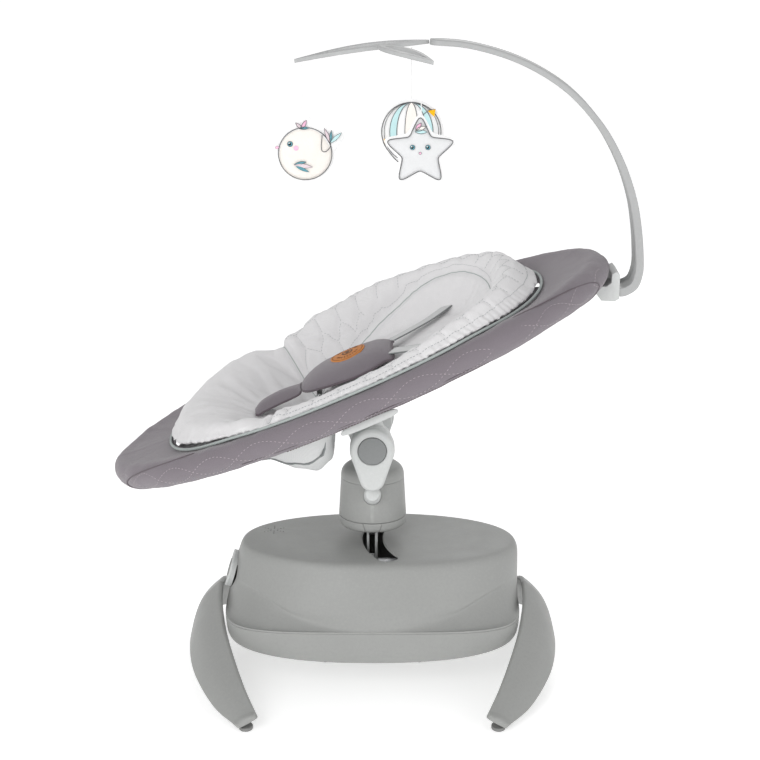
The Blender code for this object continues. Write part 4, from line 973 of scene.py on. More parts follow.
def make_panel():
    face = superellipse(*PANEL_HALF, 2, 96)
    plate = panel_disc("control_panel_face", face,
                       [(0.97, -0.0045), (1, -0.0040), (1, 0.0022), (0.985, 0.0034),
                        (0.94, 0.0038), (0.5, 0.0040), (0.05, 0.0040)])
    for outline in (ring_of(DIAL_R + 0.0005, 64), ring_of(POWER_R + FIT, 40, (0, POWER_Y))):
        carve(plate, panel_tool(outline, (0.0005, 0.01)))
    register(plate, "base", "panel", "base_grey", "control_panel")
    bezel = [on_panel([(a * s, b * s, h) for a, b in face])
             for s, h in ((1.0, 0.0022), (1.012, 0.0040), (0.985, 0.0050), (0.955, 0.0040),
                          (0.965, 0.0030))]
    register(skin("control_panel_bezel", bezel, ring=True), "base", "hub", "hub_grey")
    lights = []
    for side, up, across, shift in PANEL_LIGHTS:
        for step in range(-2, 3):
            a = math.radians(90 * side + 17 * step)
            place = (up * math.cos(a), across * math.sin(a) + shift)
            lights.append(panel_disc("light", ring_of(0.0008, 12, place),
                                     [(1, 0.0036), (1, 0.0042), (0.5, 0.0044)]))
    register(merged("control_panel_lights", lights), "base", "led", "dark_plastic")
    flutes = polar(lambda t: DIAL_R - 0.0005 + 0.0005 * np.cos(24 * t), 192)
    dial = panel_disc("control_dial_cap", flutes,
                      [(0.96, -0.0030), (1, -0.0024), (1, 0.0050), (0.95, 0.0062),
                       (0.80, 0.0064), (0.78, 0.0058), (0.1, 0.0056)])
    register(dial, "dial", "base", "base_grey", "control_dial")
    mark = [(0.0062, -0.0005), (0.0098, -0.0005), (0.0098, 0.0005), (0.0062, 0.0005)]
    pointer = skin("dial_pointer", [on_panel([(x, y, h) for x, y in mark])
                                    for h in (0.0054, 0.0063)])
    register(pointer, "dial", "hub", "hub_grey")
    knob = panel_disc("power_button_cap", ring_of(POWER_R, 40, (0, POWER_Y)),
                      [(0.95, -0.0020), (1, -0.0014), (1, 0.0042), (0.92, 0.0050),
                       (0.6, 0.0052), (0.1, 0.0051)])
    register(knob, "power", "dark", "dark_plastic", "power_button")


LEG_UPPER = [(0.222, 0.000, 0.124), (0.220, 0.050, 0.112), (0.211, 0.100, 0.089),
             (0.196, 0.150, 0.066), (0.178, 0.200, 0.043), (0.159, 0.240, 0.021)]
LEG_LOWER = [(0.266, 0.000, 0.050), (0.266, 0.050, 0.042), (0.259, 0.100, 0.030),
             (0.243, 0.150, 0.020), (0.218, 0.200, 0.0085), (0.190, 0.240, 0.0030)]
LEG_THICKNESS = 0.0125


def leg_section(upper, lower, t):
    """The blade's rounded section at t, 0 mid leg to 1 at the toe."""
    chord = lower - upper
    out = np.array([-chord[2], 0, chord[0]])
    out /= np.linalg.norm(out)
    if out[0] < 0:
        out = -out
    thick = LEG_THICKNESS * (1 + 0.25 * t)
    bow = 0.10 * np.linalg.norm(chord)
    f = np.linspace(0, 1, 15)[:, None]
    swell = np.sin(math.pi * f)
    outer = upper + chord * f + out * (thick * 0.55 + bow * swell)
    inner = upper + chord * f + out * (bow * 0.8 * swell - thick * 0.22 * swell)
    section = np.concatenate([outer, inner[::-1][1:-1], [upper]])
    radii = np.zeros(len(section))
    radii[[0, 14, -1]] = 0.0035
    radii[15] = 0.002
    return fillet(section, radii, 4)


def make_leg(name, side):
    count = 60
    upper, lower = spline(LEG_UPPER, count), spline(LEG_LOWER, count)
    half = [leg_section(u, w, i / (count - 1)) for i, (u, w) in enumerate(zip(upper, lower))]
    toe = half[-1]
    middle = toe.mean(axis=0)
    for a in np.linspace(0, math.pi / 2, 9)[1:]:
        reach = np.array([-0.0015, 0.0090, 0]) * math.sin(a)
        half.append(middle + (toe - middle) * max(math.cos(a) ** 0.7, 0.03) + reach)
    half = np.array(half)
    far = half * np.array([side, 1, 1])
    near = half * np.array([side, -1, 1])
    rows = np.concatenate([near[::-1], far[1:]])
    rows[:, :, 2] = np.maximum(rows[:, :, 2], FOOT_TOP)
    register(skin(f"{name}_blade", rows), "base", "leg", "base_grey", name)


# ---------------------------------------------------------------- drum and fork
def make_turntable():
    seam = DRUM_LOWER_SEAM_Z - GAP
    profile = [(0.0105, seam), (DRUM_LOWER_R, seam), (DRUM_LOWER_R, 0.2260), (0.0480, 0.2222),
               (0.0440, DRUM_BOTTOM_Z), (0.0105, DRUM_BOTTOM_Z)]
    ring = turned("turntable_base_ring", profile, radius=[0, 0.0012, 0.003, 0.003, 0.002, 0])
    low, high = DRUM_BOTTOM_Z + GAP, DRUM_LOWER_SEAM_Z - 2 * GAP
    foot, top = 0.0093, 0.0140

    def trapezium(grow, reach):
        slope = (top - foot) / (high - low)
        a, b = foot + grow - slope * reach, top + grow + slope * reach
        return [(-a, low - reach), (a, low - reach), (b, high + reach), (-b, high + reach)]

    carve(ring, skin("notch_tool", [[(x, y, z) for x, z in trapezium(FIT, 0.003)]
                                    for y in (-0.060, -0.0385)]))
    register(ring, "swing", "base", "base_grey", "turntable_ring")
    rows = []
    for z in np.linspace(low, high, 10):
        half = foot + (top - foot) * (z - low) / (high - low)
        r = np.interp(z, [0.2200, 0.2222, 0.2260], [0.0440, 0.0480, DRUM_LOWER_R]) - 0.0002
        x = np.linspace(-half, half, 13)
        y = -np.sqrt(r * r - x * x)
        outer = np.stack([x, y, np.full(13, z)], 1)
        edge = min(z - low, high - z)
        outer[:, 1] += max(0.0008 - edge, 0) * 0.8
        outer[[0, -1], 1] += 0.0006
        inner = np.stack([x[::-1], np.full(13, -0.0422), np.full(13, z)], 1)
        rows.append(np.concatenate([outer, inner]))
    tab = skin("swivel_lock_button", rows)
    register(tab, "lock_tab", "base", "base_grey", "swivel_lock_tab")


def fork_neck(side, start, end):
    """A tapering neck from the drum to an arm, its end cut flat under the arm."""
    length = (end - start).length - 0.006
    profile = fillet([(0.0004, 0), (0.0125, 0), (0.0125, length - 0.016), (0.0105, length - 0.012),
                      (0.0105, length - 0.001), (0.0004, length - 0.001)],
                     [0, 0, 0.002, 0.002, 0.003, 0], 5, closed=False)
    lean = Vector((0, 0, 1)).rotation_difference(end - start).to_matrix()
    neck = skin("neck", [[tuple(start + lean @ Vector((r * math.cos(a), r * math.sin(a), z)))
                          for r, z in profile]
                         for a in np.linspace(0, 2 * math.pi, 64, endpoint=False)], ring=True)
    low, high = sorted((side * 0.0714, side * 0.1))
    carve(neck, skin("flat_tool", [[(-0.02, low, z), (0.02, low, z), (0.02, high, z),
                                    (-0.02, high, z)] for z in (0.2995, 0.36)]))
    return neck


def make_drum():
    wall_top, wall_low = DRUM_UPPER_SEAM_Z - GAP, DRUM_LOWER_SEAM_Z + GAP
    housing = turned("drum_sleeve", [(DRUM_UPPER_R - WALL, wall_top), (DRUM_UPPER_R, wall_top),
                                     (DRUM_LOWER_R, wall_low), (DRUM_LOWER_R - WALL, wall_low)],
                     radius=[0, 0.001, 0.0012, 0])
    turn = np.linspace(0.03, math.pi / 2, 20)
    rise = DRUM_TOP_Z - DRUM_UPPER_SEAM_Z
    layers = [[((DRUM_UPPER_R - inset) * math.sin(a) ** 0.72,
                DRUM_UPPER_SEAM_Z + (rise - inset) * math.cos(a) ** 0.72)
               for a in turn] for inset in (0, WALL)]
    cap = turned("drum_dome", layers[0] + layers[1][::-1], radius=0)
    core = turned("fork_core", [(0.0101, 0.2830), (0.0200, 0.2830), (0.0200, 0.2395),
                                (0.0101, 0.2395)], sides=48)
    for side in (-1, 1):
        start, end = Vector((0, side * 0.0195, 0.2655)), Vector((0, side * 0.0840, 0.2950))
        beyond = end + (end - start).normalized() * 0.02
        carve(housing, rod("neck_tool", 0.0130, start, beyond))
        carve(cap, rod("neck_tool", 0.0131, start, beyond))
        carve(core, fork_neck(side, start, end), "UNION")
    register(housing, "swivel", "base", "base_grey", "drum_housing")
    register(cap, "swivel", "base", "base_grey", "drum_cap")
    register(core, "swivel", "hub", "hub_grey", "seat_fork")


def teardrop(disc_r, foot_r, drop, shrink=0.0, sides=72):
    """A big circle and a small one below it, wrapped by their outer tangents, both made smaller."""
    lean = math.asin((disc_r - foot_r) / drop)
    over = np.linspace(-lean, math.pi + lean, sides)
    under = np.linspace(math.pi + lean, 2 * math.pi - lean, sides // 2)
    big, small = disc_r - shrink, foot_r - shrink
    return np.concatenate([np.stack([big * np.cos(over), big * np.sin(over)], 1),
                           np.stack([small * np.cos(under), small * np.sin(under) - drop], 1)])


def make_arm(word, side):
    drop = PIVOT.z - 0.3185

    def case(name, layers):
        """Outlines (a, b) at places across the seat, skinned and capped."""
        return skin(name, [[(a, side * w, b + PIVOT.z) for a, b in outline]
                           for outline, w in layers])

    profile = [(0.0010, ARM_INNER_Y), (0, ARM_INNER_Y + 0.0010), (0, 0.0832), (0.0005, 0.0836),
               (0.0005, 0.0840), (0, 0.0844)]
    profile += [(ARM_EDGE * (1 - math.cos(a)), ARM_OUTER_Y - ARM_EDGE + ARM_EDGE * math.sin(a))
                for a in np.linspace(0, math.pi / 2, 9)]
    arm = case(f"fork_arm_case_{word}", [(teardrop(ARM_DISC_R, ARM_FOOT_R, drop, shrink), w)
                                         for shrink, w in profile])
    pocket = ((BUTTON_R + 0.0005, 0.0838), (BUTTON_R + 0.0005, 0.0950),
              (BUTTON_R + 0.0022, 0.0964), (BUTTON_R + 0.0022, 0.1))
    carve(arm, case("pocket_tool", [(ring_of(r, 96), w) for r, w in pocket]))
    carve(arm, case("gear_tool", [(ring_of(GEAR_BORE_R, 64), w) for w in (0.068, 0.086)]))
    register(arm, "swivel", "hub", "hub_grey", f"fork_arm_{word}")
    rings = [(0.0055, 0.0600), (0.0055, 0.0892), (BUTTON_R - 0.0006, 0.0892), (BUTTON_R, 0.0898),
             (BUTTON_R, 0.0950), (BUTTON_R - 0.0009, 0.0962), (BUTTON_R - 0.0030, 0.0966),
             (0.010, 0.0964), (0.0006, 0.0963)]
    cap = case(f"recline_cap_{word}", [(ring_of(r, 96), w) for r, w in rings])
    register(cap, f"button_{word}", "button", "button_grey", f"recline_button_{word}")


def make_hub(word, side):
    path = spline([(0.0580, -0.004), (0.0580, 0.024), (0.0640, 0.0400), (0.0850, 0.0470),
                   (0.1300, 0.0530), (0.1700, 0.0640), (0.2010, 0.0705)], 44)
    t = np.linspace(0, 1, 44)
    half_u = level([(0, 0.026), (0.30, 0.026), (0.6, 0.030), (1.0, 0.0425)], t)
    shift_u = level([(0, 0), (0.30, 0), (1.0, 0.0275)], t)
    thick = level([(0, 0.0115), (0.2, 0.0110), (0.45, 0.0060), (1.0, 0.0048)], t)
    along = np.gradient(path, axis=0)
    along /= np.linalg.norm(along, axis=1)[:, None]

    def discs(name, layers, sides):
        return skin(name, [[tuple(SEAT @ Vector((a, side * w, b))) for a, b in ring_of(r, sides)]
                           for r, w in layers])

    rows = []
    for (y, h), (ay, ah), hu, du, th in zip(path, along, half_u, shift_u, thick):
        rows.append([tuple(SEAT @ Vector((u + du, side * (y - ah * w), h + ay * w)))
                     for u, w in superellipse(hu, th, 3.2, 64)])
    arm = skin(f"seat_bracket_{word}", rows)
    disc = ((0.0275, 0.0455), (0.029, 0.0470), (0.029, 0.0700), (0.0276, 0.0714))
    carve(arm, discs("disc", disc, 96), "UNION")
    for r, low, high in ((GEAR_BORE_R, 0.0650, 0.0800), (0.0065, 0.0400, 0.0800)):
        carve(arm, discs("bore_tool", ((r, low), (r, high)), 48))
    register(arm, "seat", "hub", "hub_grey", f"seat_hub_{word}")


# ---------------------------------------------------------------- seat cover and sling
COVER_SIDES = 320
COVER_STEPS = 44
COVER_TURN = np.linspace(0, 2 * math.pi, COVER_SIDES, endpoint=False)
BRIM_SIDE, BRIM_END, BRIM_LIFT = 0.022, 0.060, 0.15


def brim(turn):
    """The cover's reach in from the tube, narrow at the sides and wide at both ends."""
    return BRIM_SIDE + BRIM_END * abs(math.cos(turn)) ** 2.6


def ring_frame(turn):
    place = np.array([RING_HALF[0] * math.cos(turn), RING_HALF[1] * math.sin(turn)])
    outward = np.array([RING_HALF[1] * math.cos(turn), RING_HALF[0] * math.sin(turn)])
    return place, outward / np.linalg.norm(outward)


def circle_points(radius, degrees):
    return [(radius * math.cos(math.radians(d)), radius * math.sin(math.radians(d)))
            for d in degrees]


def cover_outer(turn, count=COVER_STEPS):
    """The cover's outside at one place: from under the tube, over it and in along the brim."""
    reach = brim(turn)
    lift = BRIM_LIFT * (reach - BRIM_SIDE)
    arc = circle_points(COVER_R, (-102, -80, -60, -25, 10, 45, 80))
    arc += [(-0.014, COVER_R - 0.003), (-0.5 * (reach + 0.014), 0.5 * (COVER_R + lift)),
            (-reach, 0.0030 + lift)]
    return spline(arc, count)


def cover_point(turn, r, n):
    place, outward = ring_frame(turn)
    return (*(place + outward * r), n)


def cover_lift(rows):
    """How far wrinkles lift the cover's outside, along its length and over its width."""
    arc = lengths(rows[:, 20, :2])
    grid_a, grid_b = np.meshgrid(arc, np.linspace(0, 0.11, COVER_STEPS), indexing="ij")
    flat = np.stack([grid_a.ravel(), grid_b.ravel()], 1)
    wrinkle = 0.00075 * lattice_noise(flat * [1, 0.45], 55, 3)
    wrinkle = wrinkle + 0.0004 * lattice_noise(flat * [1, 0.6], 120, 5)
    wrinkle += 0.0011 * lattice_noise(flat, 14, 7)
    fade = np.sin(math.pi * np.linspace(0, 1, COVER_STEPS)) ** 0.4
    return wrinkle.reshape(grid_a.shape) * fade[None, :] + 0.0006


def along_cover(points, lift=0.0012):
    """World places from (ring angle in degrees, share of the way over the cover)."""
    result = []
    for degrees, share in points:
        turn = math.radians(degrees)
        outer = cover_outer(turn, 201)
        r, n = outer[int(round(np.clip(share, 0, 1) * 200))]
        out = np.array([r + 0.004, n])
        out = out / max(np.linalg.norm(out), 1e-6)
        result.append(cover_point(turn, r + out[0] * lift, n + out[1] * lift))
    return seat(result)


def make_cover():
    rows = []
    for turn in COVER_TURN:
        reach = brim(turn)
        inner = [(-reach + 0.001, -0.0020 + BRIM_LIFT * (reach - BRIM_SIDE)), (-0.016, -0.0080),
                 (-0.0125, -0.0100)]
        inner += circle_points(TUBE_R + 0.0021, (205, 180, 150, 120, 90, 60, 30, 0, -30, -75))
        rows.append([cover_point(turn, r, n) for r, n in [*cover_outer(turn), *inner]])
    rows = np.array(rows)
    outside = rows[:, :COVER_STEPS]
    normal = np.cross(np.gradient(outside, axis=1), np.gradient(outside, axis=0))
    normal /= np.linalg.norm(normal, axis=2)[..., None]
    if (normal * (outside - outside.mean(axis=1, keepdims=True))).sum() < 0:
        normal = -normal
    rows[:, :COVER_STEPS] += normal * cover_lift(rows)[..., None]
    cover = skin("seat_cover_shell", seat(rows), ring=True, sharp=60)
    register(cover, "seat", "mauve", "mauve_fabric", "seat_cover")


def trim_cover():
    waves, seams, hems, folds = [], [], [], []
    for side in (1, -1):
        for sign in (1, -1):
            degrees = np.linspace(14, 166, 260)
            share = 0.40 + sign * 0.115 * np.sin(np.radians(degrees) * 15 + 0.4)
            waves.append(along_cover([(side * d, f) for d, f in zip(degrees, share)]))
        for end in (180, 0):
            turns = []
            for f in np.linspace(0, 1, 40):
                bend = 30 - 11 * math.sin(math.pi * min(f * 1.05, 1)) + 20 * f ** 5
                turns.append((side * (bend if end == 0 else end - bend), 0.05 + 0.62 * f))
            seams.append(along_cover(turns, 0.0008))
        hems.append(along_cover([(side * d, 0.235 - 0.03 * smooth(d, 96, 108))
                                 for d in np.linspace(60, 108, 80)], 0.0010))
        folds.append(along_cover([(side * d, 0.285) for d in np.linspace(50, 118, 90)], 0.0002))
    stitches("cover_wave_stitches", waves, 0.0026, 0.0034, 0.00024, "thread_pale", "mauve_fabric")
    seat_line("cover_end_seams", seams, 0.0011, "mauve_trim", "mauve_fabric")
    stitches("cover_hem_stitches", hems, 0.0026, 0.0018, 0.00050, "thread_mauve", "mauve_fabric")
    seat_line("cover_hem_fold", folds, 0.0006, "mauve_trim", "mauve_fabric")
    turns = np.linspace(0, 360, 240, endpoint=False)
    seat_line("cover_lower_piping", [along_cover([(d, 0.015) for d in turns], 0.0004)], 0.0021,
              "mauve_trim", "mauve_fabric", closed=True)


SLING_LEVELS = [(-0.31, -0.014), (-0.25, -0.022), (-0.20, -0.031), (-0.155, -0.052),
                (-0.125, -0.084), (-0.102, -0.098), (-0.080, -0.090), (-0.062, -0.047),
                (-0.045, -0.034), (0.15, -0.034), (0.25, -0.026), (0.31, -0.014)]
SLING_HALF = (0.305, 0.186)
SLING_EDGE = -0.0118


def sling_level(s, v):
    along = np.minimum(np.abs(s) / SLING_HALF[0], 0.999)
    across = np.minimum(np.abs(v) / (SLING_HALF[1] * np.sqrt(1 - along ** 2)), 1)
    return SLING_EDGE + (level(SLING_LEVELS, s) - SLING_EDGE) * (1 - across ** 4)


def make_sling():
    sides = 128
    ellipse = superellipse(*SLING_HALF, 2, sides)
    rows = []
    for fraction in np.concatenate([[0.02], np.linspace(0.06, 1, 40) ** 0.8]):
        s, v = (ellipse * fraction).T
        n = sling_level(s, v) + 0.0006 * lattice_noise(np.stack([s, v], 1), 40, 11)
        rows.append(np.stack([s, v, n], 1))
    rows = np.array(rows)
    under = rows - np.array([0, 0, 0.0012])
    layers = np.concatenate([seat(rows), seat(under)[::-1]])
    sling = skin("seat_sling_cloth", layers, sharp=60)
    register(sling, "seat", "strap", "pad_fabric", "seat_sling")
    seams = []
    for side in (-1, 1):
        s = np.linspace(-0.262, 0.262, 90)
        v = side * 0.80 * SLING_HALF[1] * np.sqrt(1 - (s / SLING_HALF[0]) ** 2)
        seams.append(seat(np.stack([s, v, sling_level(s, v) - 0.0016], 1)))
    piping = wires("sling_seam_piping", seams, 0.0018)
    register(piping, "seat", "strap_trim", "pad_fabric")


# ---------------------------------------------------------------- seat pad
PAD_MIDDLE = [(-0.29, 0.026), (-0.20, 0.012), (-0.15, -0.015), (-0.105, -0.050), (-0.075, -0.031),
              (-0.035, -0.009), (0.15, -0.005), (0.22, 0.005), (0.29, 0.024)]
PAD_CREST = [(-0.29, 0.035), (-0.235, 0.046), (-0.17, 0.053), (-0.125, 0.037), (-0.095, 0.046),
             (-0.04, 0.061), (0.05, 0.067), (0.14, 0.064), (0.24, 0.060), (0.29, 0.045)]
PAD_CREST_NEAR = [(-0.29, 0.033), (-0.235, 0.037), (-0.17, 0.035), (-0.125, 0.031), (-0.04, 0.031),
                  (0.05, 0.033), (0.10, 0.038), (0.16, 0.046), (0.24, 0.052), (0.29, 0.044)]
BACK_CENTRE_S, BACK_HALF, BACK_POWER = 0.070, 0.150, 2.5
CELL = 0.038
CELL_ROW = CELL * 0.87
CELL_DEPTH = 0.245
RIM_TABLE = np.linspace(-math.pi, math.pi, 721)
RIM_ARC = lengths(np.stack([PAD_HALF[0] * np.cos(RIM_TABLE),
                            PAD_HALF[1] * np.sin(RIM_TABLE)], 1)) * 0.9


def pad_rho(s, v):
    """0 in the pad's middle to 1 at its rim."""
    size = np.abs(s / PAD_HALF[0]) ** PAD_POWER + np.abs(v / PAD_HALF[1]) ** PAD_POWER
    return size ** (1 / PAD_POWER)


def rim_level(s):
    """The rim rests on the cover, lower at both ends."""
    return PAD_RIM - 0.0015 - 0.0065 * smooth(np.abs(s), 0.17, 0.28)


def pad_upper(s, v, rho):
    near = smooth(-v, -0.020, 0.100)
    crest = level(PAD_CREST, s) * (1 - near) + level(PAD_CREST_NEAR, s) * near
    top = level(PAD_MIDDLE, s)
    top = top + (crest - top) * smooth(rho, 0.62, 0.87)
    return top + (rim_level(s) + 0.007 - top) * smooth(rho, 0.90, 1.0)


def pad_lower(s, v, rho):
    rest = np.max([sling_level(s + step, v) for step in (-0.022, 0, 0.022)], axis=0) + 0.0037
    under = np.maximum(rest, level(PAD_MIDDLE, s) - 0.030)
    return under + (rim_level(s) - under) * smooth(rho, 0.68, 0.87)


def panel_distance(s, v):
    """Signed distance outside the back panel's seam."""
    ds = s - BACK_CENTRE_S
    shape = (np.abs(ds / BACK_HALF) ** BACK_POWER
             + np.abs(v / BACK_HALF) ** BACK_POWER) ** (1 / BACK_POWER)
    return (shape - 1) * np.hypot(ds, v) / np.maximum(shape, 1e-3)


def split_s(v):
    """The seam between the leg panel and the back, on the leg side."""
    return -0.066 - 0.062 * (np.abs(v) / 0.2) ** 1.6


def unrolled(s, v):
    """Distance round the pad and in from its rim, for laying out the quilted cells."""
    turn = np.arctan2(v / PAD_HALF[1], s / PAD_HALF[0])
    return np.interp(turn, RIM_TABLE, RIM_ARC), pad_rho(s, v) * CELL_DEPTH


def wing_share(s, v):
    """1 on the quilted wings and head, 0 on the leg panel and the back panel."""
    return smooth(s - split_s(v), 0.002, 0.012) * smooth(panel_distance(s, v), 0.002, 0.012)


def cell_edges(a, b):
    """Distance to the nearest edge of staggered rounded cells."""
    best, second = np.full((2, *a.shape), 9.0)
    row = np.floor(b / CELL_ROW)
    for dr in (-1, 0, 1, 2):
        r = row + dr
        shift = np.where(np.mod(r, 2) == 0, 0, CELL / 2)
        column = np.round((a - shift) / CELL)
        for dc in (-1, 0, 1):
            d = np.hypot(a - shift - (column + dc) * CELL, b - r * CELL_ROW)
            second = np.where(d < best, best, np.minimum(second, d))
            best = np.minimum(best, d)
    return (second - best) / 2


def inflate(obj, pressure, cap, pins=None, frames=20):
    """Swell a closed mesh with cloth pressure, holding pinned points and capping every move."""
    rest = np.array([v.co for v in obj.data.vertices])
    if pins is not None:
        group = obj.vertex_groups.new(name="pins")
        group.add(np.nonzero(pins)[0].tolist(), 1.0, "REPLACE")
    swell = obj.modifiers.new("inflate", "CLOTH")
    settings = swell.settings
    settings.quality = 4
    settings.mass = 0.3
    settings.use_pressure = True
    settings.uniform_pressure_force = pressure
    settings.effector_weights.gravity = 0
    settings.tension_stiffness = 25
    settings.bending_stiffness = 1.5
    if pins is not None:
        settings.vertex_group_mass = "pins"
    swell.collision_settings.use_collision = False
    swell.point_cache.frame_start = 1
    swell.point_cache.frame_end = frames
    for step in range(1, frames + 1):
        bpy.context.scene.frame_set(step)
    graph = bpy.context.evaluated_depsgraph_get()
    moved = np.array([v.co for v in obj.evaluated_get(graph).data.vertices])
    obj.modifiers.clear()
    bpy.context.scene.frame_set(1)
    move = moved - rest
    size = np.linalg.norm(move, axis=1)[:, None]
    move = move * np.tanh(size / cap) * cap / np.maximum(size, 1e-9)
    obj.data.vertices.foreach_set("co", (rest + move).ravel())
    obj.data.update()


def pad_shape():
    sides = 160
    shrink = 0.0012
    edge = superellipse(*PAD_HALF, PAD_POWER, sides)
    halves = []
    for heights, sign in ((pad_upper, -1), (pad_lower, 1)):
        rows = []
        for fraction in np.concatenate([[0.015], np.linspace(0.05, 1, 34)]):
            s, v = (edge * (fraction - 0.004 * (fraction > 0.9))).T
            n = heights(s, v, np.full(sides, fraction)) + sign * shrink
            rows.append(np.stack([s, v, n], 1))
        halves.append(rows)
    return skin("seat_pad_cushion", seat(np.array(halves[0] + halves[1][::-1])), sharp=180)


def pad_relief(s, v, n, normals):
    """How far quilting, seams, pleats and wrinkles lift each point of the pad."""
    rho = pad_rho(s, v)
    past_split = s - split_s(v)
    facing = normals @ np.array(SEAT_UP)
    upper = smooth(facing, -0.25, 0.25) * smooth(n - (pad_lower(s, v, rho) + 0.004), 0, 0.004)
    a, b = unrolled(s, v)
    groove = np.exp(-(cell_edges(a, b) / 0.0036) ** 2)
    wing = wing_share(s, v) * upper
    lift = wing * (0.0008 - 0.0021 * groove) * (1 - 0.7 * smooth(rho, 0.90, 0.97))
    seam_near = np.exp(-(panel_distance(s, v) / 0.0045) ** 2) * smooth(past_split, -0.004, 0.004)
    split_near = np.exp(-(past_split / 0.005) ** 2)
    lift -= upper * (0.0042 * seam_near + 0.0050 * split_near)
    ridge = np.exp(-((past_split - 0.014) / 0.010) ** 2)
    lift += upper * 0.0032 * ridge * smooth(rho, 0.5, 0.8)
    flat = np.stack([s, v], 1)
    leg = smooth(-past_split, 0.0, 0.03) * upper
    fan = np.stack([np.arctan2(v, s + 0.10) * 3.0, np.hypot(s + 0.10, v) * 6], 1)
    lift += leg * (0.0022 * lattice_noise(fan, 2.2, 21) + 0.0012 * lattice_noise(flat, 30, 23))
    lift += upper * 0.0007 * lattice_noise(flat, 60, 25)
    lift += upper * 0.0004 * lattice_noise(flat, 150, 27)
    pleats = np.sin(a * 2 * math.pi / 0.0095 + 2.0 * lattice_noise(flat, 40, 29))
    edge_zone = np.exp(-((rho - 0.985) / 0.03) ** 2) * smooth(s, -0.13, -0.10)
    return lift + 0.0008 * pleats * edge_zone * smooth(np.abs(v), 0.05, 0.10)


def make_pad():
    pad = pad_shape()
    remesh = pad.modifiers.new("remesh", "REMESH")
    remesh.mode = "VOXEL"
    remesh.voxel_size = 0.005
    bake(pad)
    s, v, n = from_world([p.co for p in pad.data.vertices]).T
    rho = pad_rho(s, v)
    top = n > (pad_upper(s, v, rho) + pad_lower(s, v, rho)) / 2
    off_middle = np.where(np.abs(v) < 0.03, 1, 0)
    seam = np.minimum(np.abs(panel_distance(s, v)), np.abs(s - split_s(v)) + off_middle)
    inflate(pad, 4.0, 0.006, np.where(top, seam < 0.004, rho < 0.9))
    fine = pad.modifiers.new("fine", "SUBSURF")
    fine.levels = fine.render_levels = 1
    bake(pad)
    mesh = pad.data
    co = np.array([p.co for p in mesh.vertices])
    normals = np.array([p.normal for p in mesh.vertices])
    co += normals * pad_relief(*from_world(co).T, normals)[:, None]
    mesh.vertices.foreach_set("co", co.ravel())
    mesh.update()
    mesh.shade_smooth()
    register(pad, "seat", "pad", "pad_fabric", "seat_pad")
    trim_pad(BVHTree.FromPolygons([tuple(p) for p in co],
                                  [tuple(p.vertices) for p in mesh.polygons]))


def laid(tree, path, lift):
    """(s, v) points dropped on to a mesh, as world places a little above it."""
    result = []
    for point in seat([(s, v, 0.14) for s, v in path]):
        hit, normal, _, _ = tree.ray_cast(Vector(point), -SEAT_UP)
        if hit is not None:
            result.append(tuple(hit + SEAT_UP * lift * 0.5 + normal * lift * 0.5))
    return np.array(result)


def kept_runs(outline, keep):
    """The stretches of an outline that keep marks, in order."""
    runs = np.split(np.arange(len(outline)), np.nonzero(np.diff(keep.astype(int)))[0] + 1)
    return [outline[run] for run in runs if keep[run[0]]]


def cell_lines():
    """The quilted cells' edges, as (s, v) paths on the wings and the head."""
    result = []
    for row in range(2, 9):
        shift = 0 if row % 2 == 0 else CELL / 2
        for column in range(int(RIM_ARC[-1] / CELL) + 2):
            centre = np.array([shift + column * CELL, row * CELL_ROW])
            corners = [centre + CELL / math.sqrt(3) * np.array([math.sin(a), math.cos(a)])
                       for a in np.radians((0, 60, 120, 180))]
            for p, q in zip(corners, corners[1:]):
                line = p + (q - p) * np.linspace(0, 1, 9)[:, None]
                turn = np.interp(line[:, 0], RIM_ARC, RIM_TABLE)
                rho = line[:, 1] / CELL_DEPTH
                out = np.stack([PAD_HALF[0] * np.cos(turn), PAD_HALF[1] * np.sin(turn)], 1)
                path = out * (rho / pad_rho(*out.T))[:, None]
                keep = (wing_share(*path.T) > 0.6) & (rho < 0.955)
                if keep.sum() >= 4:
                    result.append(path[keep])
    return result


def trim_pad(tree):
    def panel_outline(grow):
        size = BACK_HALF + grow
        return superellipse(size, size, BACK_POWER, 260) + np.array([BACK_CENTRE_S, 0])

    edge = superellipse(PAD_HALF[0] + 0.0012, PAD_HALF[1] + 0.0012, PAD_POWER, 320)
    rim = seat(np.column_stack([edge, rim_level(edge[:, 0]) + 0.0025]))
    seat_line("pad_rim_piping", [rim], 0.0021, "pad_trim", "pad_fabric", closed=True, resolution=3)
    inner = panel_outline(0)
    inner = inner[inner[:, 0] > split_s(inner[:, 1]) + 0.002]
    start = int(np.argmax(np.linalg.norm(np.diff(inner, axis=0), axis=1))) + 1
    v = np.linspace(-0.196, 0.196, 160)
    seams = [laid(tree, path, 0.0002)
             for path in (np.roll(inner, -start, axis=0), np.stack([split_s(v), v], 1))]
    seat_line("pad_panel_seams", seams, 0.0007, "pad_trim", "pad_fabric")
    grown = panel_outline(0.0055)
    quilt = kept_runs(grown, grown[:, 0] > split_s(grown[:, 1]) + 0.004) + cell_lines()
    ellipse = superellipse(PAD_HALF[0] * 0.955, PAD_HALF[1] * 0.955, PAD_POWER, 320)
    rims = kept_runs(ellipse, ellipse[:, 0] > split_s(ellipse[:, 1]) + 0.006)
    for name, paths, dash, gap, radius in (
            ("pad_quilt_stitches", quilt, 0.0024, 0.0022, 0.00028),
            ("pad_rim_stitches", rims, 0.0028, 0.0020, 0.00038)):
        sewn = [laid(tree, path, 0.0003) for path in paths]
        sewn = [path for path in sewn if len(path) > 3]
        stitches(name, sewn, dash, gap, radius, "thread_grey", "pad_fabric")


